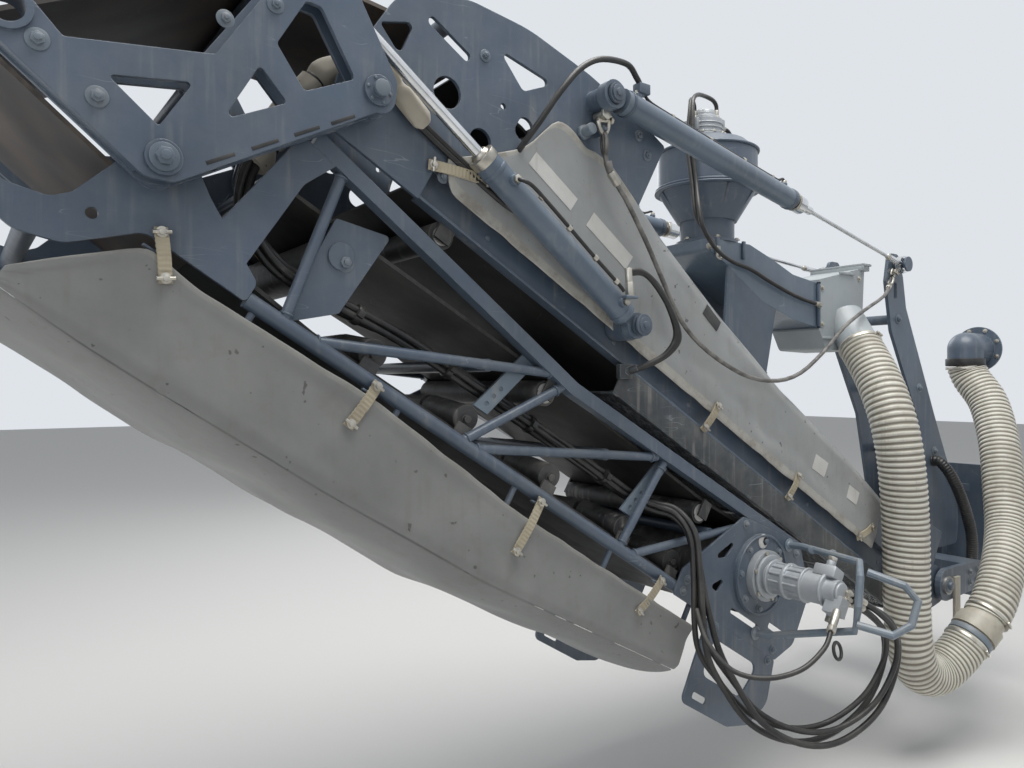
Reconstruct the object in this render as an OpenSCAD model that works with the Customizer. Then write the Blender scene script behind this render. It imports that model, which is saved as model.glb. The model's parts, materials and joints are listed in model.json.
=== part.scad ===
/* [Slopes] */
// Slope of the upper conveyor section
inner_slope = 30; // [26:1:34]
// Slope of the folded lower conveyor section
outer_slope = 31.5; // [29:0.5:33]

/* [Widths] */
// Width of the rubber belt
belt_w = 680; // [640:10:690]
// Thickness of the rubber belt
belt_t = 10; // [8:1:14]
// Gap between the belt's edge and the side frame
belt_edge = 12; // [10:1:18]
// Thickness of the cheek and arm plates
plate_t = 12; // [8:1:14]
// Thickness of the inner link plate
link_in_t = 10; // [8:1:14]
// Thickness of the outer link plate
link_out_t = 12; // [8:1:16]
// Gap between the side frame and the inner link plate
link_gap = 26; // [22:1:34]
// Gap between the two plates of one link
link_slot = 36; // [34:1:44]

/* [Pins] */
// Radius of the fold hinge pins
fold_pin_r = 25; // [18:1:30]
// Radius of the washers on the fold hinge pins
fold_washer_r = 36; // [32:1:44]
// Radius of the cylinder pins
cyl_pin_r = 20; // [14:1:24]
// Radius of the foot pins
foot_pin_r = 30; // [22:1:36]
// Running clearance of a pin in its hole
pin_fit = 0.1; // [0.05:0.05:0.3]

/* [Cylinders] */
// Outer radius of the fold cylinder barrel
fold_barrel_r = 37.5; // [30:0.5:38]
// Radius of the fold cylinder rod
fold_rod_r = 16; // [12:1:20]
// Outer radius of the lift cylinder barrel
lift_barrel_r = 38; // [34:1:42]
// Radius of the lift cylinder rod
lift_rod_r = 20; // [14:1:26]
// Radius of the pendant wire rope
pendant_r = 8; // [6:1:12]

/* [Frames] */
// Size of the square tube of the upper truss chord
chord_s = 40; // [32:1:46]
// Radius of the lower truss chord
chord_r = 20; // [16:1:20]
// Radius of the truss diagonals
diag_r = 14; // [10:1:18]
// Height of the upper section's side channel
rail_h = 110; // [90:5:130]
// Depth of the side channel's flanges
rail_d = 40; // [30:1:46]
// Wall of the side channel
rail_t = 7; // [5:1:10]
// Radius of the cross tubes
cross_r = 24; // [16:1:30]

/* [Rollers] */
// Radius of the idler rollers
idler_r = 38; // [30:1:42]
// Radius of the tail drum
tail_r = 70; // [60:1:80]
// Radius of the drive drum
head_r = 140; // [120:1:150]
// Troughing angle of the carrying rollers
trough = 8; // [5:1:10]
// Width of the flat middle of the trough
trough_mid = 260; // [220:10:300]

/* [Fan and hoses] */
// Radius of the fan drum
fan_r = 198; // [170:2:210]
// Height of the fan drum
fan_h = 200; // [170:5:230]
// Outer radius of the suction hoses
hose_r = 90; // [80:1:92]
// Radius of the hydraulic hose bundle
bundle_r = 24; // [18:1:26]

/* [Console] */
// Width of the bolted back plate
console_w = 640; // [560:10:720]
// Height of the bolted back plate
console_h = 720; // [640:10:800]
// Thickness of the bolted back plate
console_t = 25; // [16:1:32]
// Sideways spacing of the four corner bolts
bolt_dy = 540; // [460:10:600]
// Upright spacing of the four corner bolts
bolt_dz = 620; // [540:10:700]
// Radius of the bolt holes
bolt_r = 13; // [9:1:16]
// Radius of the slewing pin
slew_pin_r = 45; // [36:1:55]

/* [Hidden] */
round_fn = 48;
small_fn = 24;
steel = "#4a5663";
eps = 0.01;
seat = 0.3;

// Sideways places, counted from the middle plane
belt_half = belt_w / 2;
rail_in = belt_half + belt_edge;
frame_half = rail_in + rail_d;
cheek_in = frame_half - plate_t;
link_in = frame_half + link_gap;
slot_in = link_in + link_in_t;
link_out = slot_in + link_slot;
link_face = link_out + link_out_t;
cyl_y = slot_in + link_slot / 2;
idler_half = belt_half + 8;

// Points of the whole frame, as [x, z]
foot = [-830, -130];
fold_1 = [-3742, 1488];
fold_2 = [-4211, 1250];
horn = [-4474, 1480];
rod_eye = [-3870, 1725];
barrel_eye = [-2872, 977];
lift_eye = [-2985, 1647];
mast_eye = [-800, 1382];
slew_x = -250;

function rot2(p, a) = [p[0] * cos(a) - p[1] * sin(a), p[0] * sin(a) + p[1] * cos(a)];
function unit(v) = v / norm(v);
function to_inner(p) = rot2(p - foot, inner_slope);
function to_outer(p) = rot2(p - fold_2, outer_slope);
function from_inner(p) = foot + rot2(p, -inner_slope);
function from_outer(p) = fold_2 + rot2(p, -outer_slope);

// A path moved outwards with the side frames: from none of the move at y = -y0 to all of it at y = -y1
drawn_half = 392;
function spread(path, y0, y1) = [for (p = path)
    [p[0], p[1] - (frame_half - drawn_half) * max(0, min(1, (-p[1] - y0) / (y1 - y0))), p[2]]];

// An outline whose corners are rounded: each row is [x, z, corner radius]
function corner(a, b, c, r) =
    let (u = unit(a - b), v = unit(c - b), half = acos(u * v) / 2, d = r / tan(half),
         s = b + u * d, e = b + v * d, m = b + unit(u + v) * (r / sin(half)), n = 5,
         a0 = atan2(s[1] - m[1], s[0] - m[0]), a1 = atan2(e[1] - m[1], e[0] - m[0]),
         da = (a1 - a0 > 180) ? a1 - a0 - 360 : (a1 - a0 < -180) ? a1 - a0 + 360 : a1 - a0)
    [for (i = [0:n]) m + r * [cos(a0 + da * i / n), sin(a0 + da * i / n)]];
function rounded(rows) =
    let (k = len(rows))
    [for (i = [0:k - 1])
        let (a = rows[(i + k - 1) % k], b = rows[i], c = rows[(i + 1) % k])
        each (b[2] == 0 ? [[b[0], b[1]]] : corner([a[0], a[1]], [b[0], b[1]], [c[0], c[1]], b[2]))];

// A smooth curve through chosen points
function curve(pts, n) =
    let (k = len(pts))
    concat([for (i = [0:k - 2], j = [0:n - 1])
        let (t = j / n, p0 = pts[max(i - 1, 0)], p1 = pts[i], p2 = pts[i + 1], p3 = pts[min(i + 2, k - 1)])
        0.5 * ((2 * p1) + (p2 - p0) * t + (2 * p0 - 5 * p1 + 4 * p2 - p3) * t * t
            + (3 * p1 - p0 - 3 * p2 + p3) * t * t * t)], [pts[k - 1]]);

// A solid through rings of points, each ring with the same count, closed at both ends
module skin(rings, loop = false) {
    n = len(rings[0]);
    m = len(rings);
    pts = [for (r = rings) each r];
    sides = [for (i = [0:(loop ? m - 1 : m - 2)], j = [0:n - 1])
        let (a = i * n + j, b = i * n + (j + 1) % n, c = ((i + 1) % m) * n + (j + 1) % n, d = ((i + 1) % m) * n + j)
        each [[a, b, c], [a, c, d]]];
    last = (m - 1) * n;
    caps = loop ? [] : [for (j = [0:n / 2 - 2])
        let (a = j, b = j + 1, c = n - 2 - j, d = n - 1 - j)
        each concat((b == c) ? [] : [[c, b, a], [last + a, last + b, last + c]],
            [[d, c, a], [last + a, last + c, last + d]])];
    polyhedron(pts, concat(sides, caps), convexity = 10);
}

function tangent(path, i) = unit(path[min(i + 1, len(path) - 1)] - path[max(i - 1, 0)]);
function ring(p, t, ref, r, sides) =
    let (u = unit(cross(t, ref)), v = cross(t, u))
    [for (j = [0:sides - 1]) p + r * (cos(360 * j / sides) * u + sin(360 * j / sides) * v)];

// Its two ends are square to the directions stated, or to the path
module tube(path, r, ref = [0, 1, 0], sides = 10, start = undef, finish = undef) {
    m = len(path) - 1;
    skin([for (i = [0:m])
        let (t = (i == 0 && start != undef) ? unit(start) : (i == m && finish != undef) ? unit(finish)
            : tangent(path, i))
        ring(path[i], t, ref, r, sides)]);
}

// A straight round bar between two points
module bar(a, b, r) {
    d = b - a;
    translate(a)
        rotate([0, acos(d[2] / norm(d)), atan2(d[1], d[0])])
            cylinder(h = norm(d), r = r, $fn = small_fn);
}

module both_sides() {
    children();
    mirror([0, 1, 0]) children();
}

// A flat plate in the upright plane, from y0 to y0 + t
module plate(points, y0, t)
    translate([0, y0 + t, 0])
        rotate([90, 0, 0])
            linear_extrude(t) polygon(points);

// A round pin or bore along y, at [x, z]
module pin(p, y0, y1, r, fn = round_fn)
    translate([p[0], y1, p[1]])
        rotate([90, 0, 0])
            cylinder(h = y1 - y0, r = r, $fn = fn);

// A ball whose poles lie along y
module ball(p, r) translate(p) rotate([90, 0, 0]) sphere(r = r, $fn = round_fn);

module at_inner() translate([foot[0], 0, foot[1]]) rotate([0, inner_slope, 0]) children();
module at_outer() translate([fold_2[0], 0, fold_2[1]]) rotate([0, outer_slope, 0]) children();

// Slewing console
slew_z = 230;
lug_t = 40;
lug_reach = 95;
slew_gap = 6;

module console() color(steel) difference() {
    union() {
        translate([-console_t, -console_w / 2, -console_h / 2]) cube([console_t, console_w, console_h]);
        for (s = [-1, 1])
            translate([0, 0, s * slew_z - lug_t / 2])
                linear_extrude(lug_t) polygon(rounded([
                    [-console_t / 2, -220, 0], [-55, -75, 30], [slew_x - lug_reach, -85, 80],
                    [slew_x - lug_reach, 85, 80], [-55, 75, 30], [-console_t / 2, 220, 0]]));
        for (s = [-1, 1])
            plate([[-console_t / 2, -slew_z - 90], [-console_t / 2, slew_z + 90], [-105, slew_z],
                [-60, 0], [-105, -slew_z]], s * 50 - 8, 16);
    }
    for (y = [-1, 1], z = [-1, 1])
        translate([-console_t - 1, y * bolt_dy / 2, z * bolt_dz / 2])
            rotate([0, 90, 0]) cylinder(h = console_t + 2, r = bolt_r, $fn = round_fn);
    translate([slew_x, 0, -slew_z - lug_t]) cylinder(h = 2 * slew_z + 2 * lug_t, r = slew_pin_r, $fn = round_fn);
}

module slew_pins() color("silver") {
    translate([slew_x, 0, -slew_z - lug_t / 2]) cylinder(h = 2 * slew_z + lug_t, r = slew_pin_r, $fn = round_fn);
    translate([slew_x, 0, slew_z + lug_t / 2]) cylinder(h = 14, r = slew_pin_r + 14, $fn = round_fn);
    translate([slew_x, 0, -slew_z - lug_t / 2 - 14]) cylinder(h = 14, r = slew_pin_r + 14, $fn = round_fn);
}

// Slewing frame: boss, cross beam and arms to the foot pins
boss_r = 85;
boss_half = slew_z - lug_t / 2 - slew_gap;
beam_x = -560;
side_plate_y = 72;
side_plate_t = 20;
arm_t = 25;
arm_y = frame_half + 10;

module slew_frame() color(steel) difference() {
    union() {
        translate([slew_x, 0, -boss_half]) cylinder(h = 2 * boss_half, r = boss_r, $fn = round_fn);
        translate([beam_x - 70, -arm_y - arm_t, -190]) cube([140, 2 * (arm_y + arm_t), 130]);
        for (s = [-1, 1])
            plate(rounded([[slew_x + 20, -boss_half, 0], [slew_x + 20, boss_half, 0], [-420, 170, 60],
                [beam_x - 60, -70, 0], [beam_x - 60, -185, 0], [-420, -190, 0]]),
                s * (side_plate_y - side_plate_t / 2) - side_plate_t / 2, side_plate_t);
        both_sides()
            plate(rounded([[beam_x + 60, -60, 20], [foot[0] - 70, foot[1] + 75, 70],
                [foot[0] - 70, foot[1] - 75, 70], [beam_x + 60, -190, 20]]), arm_y, arm_t);
    }
    translate([slew_x, 0, -slew_z]) cylinder(h = 2 * slew_z, r = slew_pin_r + pin_fit, $fn = round_fn);
    both_sides() pin(foot, arm_y - 1, arm_y + arm_t + 1, foot_pin_r);
}

module foot_pins() color("silver") both_sides() {
    pin(foot, cheek_in - 16, arm_y + arm_t, foot_pin_r);
    pin(foot, arm_y + arm_t, arm_y + arm_t + 10, foot_pin_r + 12);
}

// Mast: two leaning legs, a head with the pendant eyes and cross tubes
mast_y = 150;
mast_t = 16;
mast_out = mast_y + mast_t;
mast_pin_r = 16;
pendant_eye_r = 30;

module mast() color(steel) {
    both_sides() {
        difference() {
            plate(rounded([[-450, -60, 20], [-150, -60, 30], [-130, 60, 60], [-150, 200, 60], [-400, 640, 60],
                [-690, 1180, 40], [-720, 1330, 40], [-765, 1440, 30], [-850, 1440, 30], [-880, 1300, 40],
                [-830, 1060, 60], [-580, 640, 80], [-450, 130, 40]]), mast_y, mast_t);
            plate(rounded([[-810, 1300, 10], [-780, 1300, 10], [-780, 1220, 10], [-810, 1220, 10]]),
                mast_y - 1, mast_t + 2);
        }
        pin(mast_eye, mast_y + 2, mast_out + 62, mast_pin_r);
        pin(mast_eye, mast_out + 62, mast_out + 70, pendant_eye_r + 6);
        translate([-440, side_plate_y, -50]) cube([95, mast_y - side_plate_y, 100]);
    }
    for (p = [[-770, 1120], [-560, 780], [-400, 450]])
        pin(p, -mast_y, mast_y, cross_r);
}

// Suction hoses and their fittings
hose_ref = [0.3, 1, 0];
hose_1 = spread([[-1290, -262, 975], [-1317, -316, 908], [-1345, -370, 838], [-1378, -430, 740], [-1397, -480, 610],
    [-1388, -503, 440], [-1366, -507, 200], [-1358, -507, -60], [-1335, -507, -280], [-1255, -507, -405],
    [-1130, -518, -440], [-1010, -545, -385], [-945, -566, -325]], 262, 480);
hose_2 = spread([[-850, -597, -237], [-780, -608, -160], [-640, -590, -20], [-500, -545, 110], [-410, -500, 260],
    [-290, -430, 500], [-190, -340, 700], [-150, -240, 830], [-150, -210, 900]], 262, 480);
joint_dir = unit(hose_2[0] - hose_1[len(hose_1) - 1]);

outlet_dir = unit(hose_1[1] - hose_1[0]);
module suction_hose_upper() color("#cfc9b8")
    tube(curve(hose_1, 3), hose_r, hose_ref, 12, start = outlet_dir, finish = joint_dir);
module suction_hose_lower() color("#cfc9b8")
    tube(curve(hose_2, 3), hose_r, hose_ref, 12, start = joint_dir, finish = [0, 0, 1]);

module hose_coupling() color("#cfc9b8") {
    a = hose_1[len(hose_1) - 1];
    b = hose_2[0];
    m = (a + b) / 2;
    bar(a + 0.3 * joint_dir, b - 0.3 * joint_dir, hose_r - 6);
    bar(m - 30 * joint_dir, m + 30 * joint_dir, hose_r + 6);
    translate([-776, -arm_y - arm_t - 12, -330]) cube([50, 12, 230]);
    bar([-750, -arm_y - arm_t - 6, -300], m, 14);
}

// Elbow with its flange, which is bolted to the machine's front wall beside the console
inlet_y = -210;
inlet_z = 990;
inlet_r = hose_r - 4;
module duct_inlet() color(steel) {
    translate([-150, inlet_y, 900.3]) cylinder(h = inlet_z - 900.3, r = inlet_r, $fn = round_fn);
    translate([-150, inlet_y, inlet_z]) sphere(r = inlet_r, $fn = round_fn);
    translate([-150, inlet_y, inlet_z]) rotate([0, 90, 0]) cylinder(h = 150, r = inlet_r, $fn = round_fn);
    translate([-12, inlet_y, inlet_z]) rotate([0, 90, 0]) cylinder(h = 12, r = inlet_r + 36, $fn = round_fn);
}

harness = [[-420, -166.3, 400], [-418, -205, 395], [-390, -250, 320], [-320, -275, 180], [-255, -285, 20],
    [-250, -285, -110], [-310, -285, -205], [-400, -285, -190], [-450, -285, -140], [-489.7, -285, -130]];
module harness_hose() color("#1c1d1f")
    tube(curve(harness, 3), 28, [0.3, 0, 1], 10, start = [0, -1, 0], finish = [-1, 0, 0]);

// Upper section: side channels with the foot lugs
rail_mid = -105;
rail_top = rail_mid + rail_h / 2;
rail_low = rail_mid - rail_h / 2;
barrel_boss_r = 44;
rail_x0 = -3090;
rail_x1 = -60;

module channel(x0, x1, z, h)
    translate([x0, 0, z])
        rotate([90, 0, 90])
            linear_extrude(x1 - x0)
                polygon([[rail_in, -h / 2], [frame_half, -h / 2], [frame_half, -h / 2 + rail_t],
                    [rail_in + rail_t, -h / 2 + rail_t], [rail_in + rail_t, h / 2 - rail_t],
                    [frame_half, h / 2 - rail_t], [frame_half, h / 2], [rail_in, h / 2]]);

module inner_rails() color(steel) at_inner() both_sides() {
    channel(rail_x0, rail_x1, rail_mid, rail_h);
    difference() {
        union() {
            plate(rounded([[-420, rail_mid - 55, 20], [-60, rail_mid - 55, 20], [62, -60, 60], [62, 62, 60],
                [-70, 64, 60], [-420, rail_mid + 60, 20]]), cheek_in, plate_t);
        }
        pin([0, 0], cheek_in - 1, frame_half + 1, foot_pin_r + pin_fit);
    }
    b = to_inner(barrel_eye);
    pin(b, rail_in + 12, slot_in + 2, barrel_boss_r);
    pin(b, slot_in, link_out + 6, cyl_pin_r);
    pin(b, link_out + 6, link_out + 14, cyl_pin_r + 12);
}

// Cheek plates at the fold
cheek_x = -2450;
lift_y = frame_half + 74;
lift_ball_r = cyl_pin_r + 10;
module inner_cheeks() color(steel) at_inner() both_sides() {
    p1 = to_inner(fold_1);
    le = to_inner(lift_eye);
    difference() {
        plate(rounded([[cheek_x, rail_top, 0], [cheek_x, 548, 10], [-2585, 548, 300], [-2813, 522, 500],
            [-3045, 473, 500], [-3232, 395, 200], [-3390, 260, 120], [-3412, -40, 60], [-3380, -163, 50],
            [rail_x0, -163, 0], [rail_x0, rail_top, 0]]), cheek_in, plate_t);
        pin(p1, cheek_in - 1, frame_half + 1, fold_pin_r);
        pin(le, cheek_in - 1, frame_half + 1, cyl_pin_r + 4);
        for (c = [
            rounded([[-3297, 274, 12], [-3152, 269, 12], [-3152, 243, 12], [-3297, 248, 12]]),
            rounded([[-3096, 350, 10], [-2900, 402, 12], [-2974, 306, 18]]),
            rounded([[-3396, 148, 8], [-3321, 222, 12], [-3312, 116, 14]]),
            rounded([[-2945, 250, 24], [-2892, 250, 24], [-2892, 182, 24], [-2945, 182, 24]])])
            plate(c, cheek_in - 1, plate_t + 2);
        pin([-3160, 132], cheek_in - 1, frame_half + 1, 42);
        pin([-3016, 89], cheek_in - 1, frame_half + 1, 35);
        pin([-3005, 223], cheek_in - 1, frame_half + 1, 9, 16);
    }
    difference() {
        pin(p1, cheek_in - 14, frame_half + link_gap - seat, 46);
        pin(p1, cheek_in - 15, frame_half + link_gap, fold_pin_r);
    }
    pin(p1, cheek_in - 14, link_face + 1, fold_pin_r);
    pin(p1, link_face + 1, link_face + 9, fold_washer_r);
    pin(p1, link_face + 9, link_face + 22, 17, 24);
    pin(le, cheek_in, lift_y - 20, cyl_pin_r + 14);
    pin(le, lift_y - 20, lift_y + 22, cyl_pin_r);
    intersection() {
        ball([le[0], lift_y, le[1]], lift_ball_r);
        pin(le, lift_y - 19, lift_y + 19, lift_ball_r + 5);
    }
    pin(le, lift_y + 22, lift_y + 30, cyl_pin_r + 10);
    pin([-2706, 388], frame_half, frame_half + 30, 16, 24);
}

inner_tube_x = [-420, -1100, -1900, -2700];
module inner_cross_tubes() color(steel) at_inner() {
    for (x = inner_tube_x) pin([x, -75], -rail_in, rail_in, cross_r);
    for (p = [[-2600, 470], [-3230, 344]]) pin(p, -cheek_in, cheek_in, cross_r);
}

// Carrying strand of the upper section: height at x
strand_x0 = -180;
strand_x1 = -3240;
belt_end = -3140;
strand_z0 = -5;
strand_z1 = 250;
function strand_z(x) = strand_z0 + (strand_z1 - strand_z0) * (x - strand_x0) / (strand_x1 - strand_x0);

// One set of three carrying rollers below a strand at height z; its stands rise from height base
idler_gap = 0.6;
module idler_set(x, z, side, base) {
    axle = z - side * (idler_r + belt_t / 2 + idler_gap);
    wing = idler_half - trough_mid / 2 - 12;
    translate([x, 0, axle]) {
        pin([0, 0], -trough_mid / 2 + 12, trough_mid / 2 - 12, idler_r, 32);
        pin([0, 0], -trough_mid / 2 - 2, trough_mid / 2 + 2, 10, 16);
        both_sides() {
            translate([-14, trough_mid / 2 - 3, -16]) cube([28, 9, 32]);
            translate([0, trough_mid / 2 + 8, side * 0.4]) rotate([side * trough, 0, 0]) {
                pin([0, 0], 0, wing, idler_r, 32);
                pin([0, 0], -4, wing + 14, 10, 16);
            }
        }
    }
    top = axle + side * 50;
    both_sides()
        translate([x - 25, rail_in + 0.5, min(base, top)]) cube([50, 10, abs(top - base)]);
}

inner_idler_x = [-700, -1240, -1780, -2300, -2860];
module inner_carrying_idlers() color("#3a3d40") at_inner()
    for (x = inner_idler_x) idler_set(x, strand_z(x), 1, rail_top);

return_z0 = strand_z0 - belt_t - 2 * tail_r - 2;
return_z1 = -135;
return_end = -3120;
function return_z(x) = return_z0 + (return_z1 - return_z0) * (x - strand_x0) / (return_end - strand_x0);
inner_return_x = [-900, -1930, -2967];
module inner_return_rollers() color("#3a3d40") at_inner()
    for (x = inner_return_x) {
        z = return_z(x) - belt_t / 2 - idler_r - idler_gap;
        pin([x, z], -belt_half, belt_half, idler_r, 32);
        pin([x, z], -rail_in, rail_in, 11, 16);
        both_sides() translate([x - 25, rail_in, z - 20]) cube([50, 8, rail_low - z + 20]);
    }

tail_c = [strand_x0, strand_z0 - belt_t / 2 - tail_r];
module tail_drum() color("#2e3134") at_inner() {
    pin(tail_c, -belt_half - 5, belt_half + 5, tail_r, 48);
    pin(tail_c, -cheek_in, cheek_in, 25, 24);
}

// One ring of the belt: at [x, z], with the belt's outer normal at angle a and a trough angle w
function belt_ring(p, a, w) =
    let (m = trough_mid / 2, e = belt_half, rise = (e - m) * tan(w), n = [cos(a), sin(a)], h = belt_t / 2)
    [for (q = [[-e, rise, h], [-m, 0, h], [m, 0, h], [e, rise, h], [e, rise, -h], [m, 0, -h], [-m, 0, -h],
        [-e, rise, -h]]) [p[0] + n[0] * (q[1] + q[2]), q[0], p[1] + n[1] * (q[1] + q[2])]];

// Belt round a drum of radius r, in n flats that stay clear of it
function wrap(c, r, a0, a1, n) =
    let (m = r / cos((a1 - a0) / n / 2) + belt_t / 2 + seat)
    [for (i = [0:n]) let (a = a0 + (a1 - a0) * i / n) belt_ring(c + m * [cos(a), sin(a)], a, 0)];

module inner_belt() color("#1b1c1d") at_inner() {
    up = 90 - atan2(strand_z1 - strand_z0, strand_x0 - strand_x1);
    skin(concat(
        [belt_ring([belt_end, strand_z(belt_end)], up, 0)],
        [for (x = [belt_end + 230, -500]) belt_ring([x, strand_z(x)], up, trough)],
        wrap(tail_c, tail_r, up, -90, 10),
        [belt_ring([return_end, return_z(return_end)], -90, 0)]));
}

// Outline of a cover or hoop: half width w, foot and crown heights, and the shoulder between them
function arch(w, foot_z, shoulder, crown) =
    let (h = crown - shoulder, bend = shoulder - 0.3 * h,
         left = [[-w, foot_z], [-w, (foot_z + bend) / 2], [-w, bend], [-0.965 * w, shoulder],
             [-0.86 * w, shoulder + 0.36 * h], [-0.66 * w, shoulder + 0.72 * h], [-0.36 * w, shoulder + 0.94 * h]])
    concat(left, [[0, crown]], [for (i = [6:-1:0]) [-left[i][0], left[i][1]]]);

// Upper cover: [x, height of the shoulder] and [x, height of the crown]
cover_t = 8;
cover_w = frame_half + seat + cover_t;
cover_foot = -95;
cover_shoulder = [[-2440, 300], [-1938, 221], [-1496, 172], [-958, 152], [-640, 120]];
cover_crown = [[-2440, 405], [-1938, 330], [-1496, 272], [-958, 236], [-640, 208]];
function shell_ring(x, w, foot_z, shoulder, crown) = concat(
    [for (q = arch(w, foot_z, shoulder, crown)) [x, q[0], q[1]]],
    [for (i = [14:-1:0]) let (q = arch(w - cover_t, foot_z, shoulder - cover_t, crown - cover_t)[i])
        [x, q[0], q[1]]]);

hoop_r = 9;
inner_hoop_x = [-2400, -1640, -1370, -720];
hoop_drop = cover_t + hoop_r + 0.5;
module inner_hoops() color(steel) at_inner()
    for (x = inner_hoop_x) {
        w = rail_in + 22;
        tube([for (q = arch(w, rail_top + 0.3, lookup(x, cover_shoulder) - hoop_drop,
            lookup(x, cover_crown) - hoop_drop)) [x, q[0], q[1]]], hoop_r, [1, 0, 0], 8,
            start = [0, 0, 1], finish = [0, 0, -1]);
    }

// Part of the cover that lies outside and between the cheeks
cover_x = -2440;
flap = [[-3076, -21], [-3034, cover_foot], [cover_x, cover_foot], [cover_x, 300], [-2600, 340], [-2690, 332],
    [-2709, 316], [-2787, 333], [-2845, 319], [-2873, 280], [-2860, 200], [-2994, 58]];
module inner_cover() color("#8b8d88") at_inner() difference() {
    union() {
        skin([for (r = cover_crown)
            shell_ring(r[0], cover_w, cover_foot, lookup(r[0], cover_shoulder), r[1])]);
        both_sides() plate(flap, frame_half + seat, cover_t);
        plate([[-2850, 322], [cover_x, 404], [cover_x, 396], [-2848, 314]], -cheek_in + 2, 2 * cheek_in - 4);
    }
    both_sides() pin(to_inner(barrel_eye), frame_half - 5, frame_half + 20, barrel_boss_r + 2);
    for (x = bridge_x, y = bridge_y) translate([x, y, 150]) cylinder(h = 200, r = bridge_post_r + 2, $fn = 16);
}

// Perforated guard below the lower half of the upper section
module mesh_guard() color("#3b4249") at_inner() {
    difference() {
        translate([-2250, -frame_half, -254]) cube([1900, 2 * frame_half, 4]);
        for (i = [0:17]) translate([-2225 + i * 104, -rail_in + 30, -256]) cube([74, 2 * rail_in - 60, 8]);
    }
    both_sides() translate([-2250, frame_half - 6, -252]) cube([1900, 6, rail_low + 252]);
}

module feed_hopper() color(steel) at_inner() {
    both_sides() plate([[-630, rail_top], [-430, rail_top], [-60, 66], [-60, 230], [-630, 180]], cheek_in - 12, 6);
    translate([-66, -cheek_in + 12, 100]) cube([6, 2 * cheek_in - 24, 130]);
}

// Fan: bridge, duct, neck, casing, drum and motor
fan_at = [-2060, -50];
fan_low = 1575;
fan_top = fan_low + fan_h;
neck_r = 108;
neck_z = 1365;
duct_y = -165;
duct_w = 230;
duct_end = -1454;
bridge_x = [-1640, -1370];
bridge_y = [-95, -5];
bridge_z = 344;
bridge_post_r = 12;
module fan_bridge() color(steel) {
    at_inner() {
        translate([-1665, duct_y, bridge_z]) cube([320, duct_w, 8]);
        for (x = bridge_x, y = bridge_y)
            translate([x, y, lookup(x, cover_crown) - hoop_drop])
                cylinder(h = bridge_z + 4 - lookup(x, cover_crown) + hoop_drop, r = bridge_post_r, $fn = 16);
    }
    for (y = [duct_y, duct_y + duct_w - 10])
        plate([from_inner([-1660, bridge_z + 4]), [-2072, 1267.7], [-1848, 1138.7], [-1760, 1112],
            from_inner([-1350, bridge_z + 4])], y, 10);
}

module fan_housing() color(steel) translate([fan_at[0], fan_at[1], 0]) {
    translate([0, 0, neck_z]) cylinder(h = 12, r = neck_r + 14, $fn = round_fn);
    translate([0, 0, neck_z]) cylinder(h = 100, r = neck_r, $fn = round_fn);
    translate([0, 0, neck_z + 90]) cylinder(h = fan_low - neck_z - 90, r1 = neck_r + 10, r2 = fan_r - 6, $fn = 48);
    translate([0, 0, fan_low]) cylinder(h = 10, r = fan_r + 8, $fn = 64);
    translate([0, 0, fan_low + 10]) cylinder(h = fan_h - 50, r = fan_r, $fn = 64);
    translate([0, 0, fan_top - 40]) cylinder(h = 40, r1 = fan_r, r2 = fan_r - 45, $fn = 64);
}

module fan_motor() color("silver") translate([fan_at[0] - 20, fan_at[1], fan_top]) {
    cylinder(h = 24, r = 92, $fn = 32);
    translate([0, 0, 24]) cylinder(h = 66, r = 74, $fn = 32);
    translate([0, 0, 90]) cylinder(h = 28, r = 46, $fn = 24);
    translate([-90, -25, 40]) cube([60, 50, 40]);
}

module fan_duct() color(steel)
    plate(rounded([[-2182, neck_z, 0], [-1935, neck_z, 30], [-1780, 1318, 100], [-1640, 1268, 100],
        [duct_end, 1245, 0], [duct_end, 1050, 0], [-1640, 1077, 100], [-1848, 1139, 0], [-2072, 1268, 0],
        [-2182, 1320, 20]]), duct_y, duct_w);

module duct_box() color("#9aa0a3") {
    plate(rounded([[duct_end + seat, 1262, 0], [-1110, 1340, 10], [-1085, 1340, 10], [-1105, 1060, 30],
        [-1170, 950, 30], [-1400, 955, 30], [duct_end + seat, 1040, 0]]), duct_y - 5, duct_w + 10);
    translate([-1118, duct_y - 15, 1330]) cube([60, duct_w + 30, 30]);
    bar(hose_1[0] - 170 * outlet_dir, hose_1[0] - 0.3 * outlet_dir, hose_r - 8);
}

// Slack safety rope
rope_r = 8;
rope = spread([[-2982, -430, 1541], [-2970, -436, 1440], [-2905, -440, 1365], [-2818, -440, 1248], [-2738, -440, 1125],
    [-2659, -440, 1009], [-2563, -440, 931], [-2436, -440, 868], [-2301, -440, 824], [-2143, -440, 812],
    [-1985, -430, 842], [-1790, -400, 925], [-1560, -350, 1035], [-1290, -285, 1125], [-1000, -220, 1215],
    [-860, -176, 1290]], 200, 430);
module safety_rope() color("#6d6f70") tube(curve(rope, 3), rope_r, [0, 1, 0.1], 8);

// Fold cylinders
fold_dir = unit(rod_eye - barrel_eye);
fold_angle = atan2(fold_dir[1], fold_dir[0]);
fold_len = norm(rod_eye - barrel_eye);
barrel_len = 690;
module along(p, a) translate([p[0], 0, p[1]]) rotate([0, -a, 0]) children();

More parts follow.
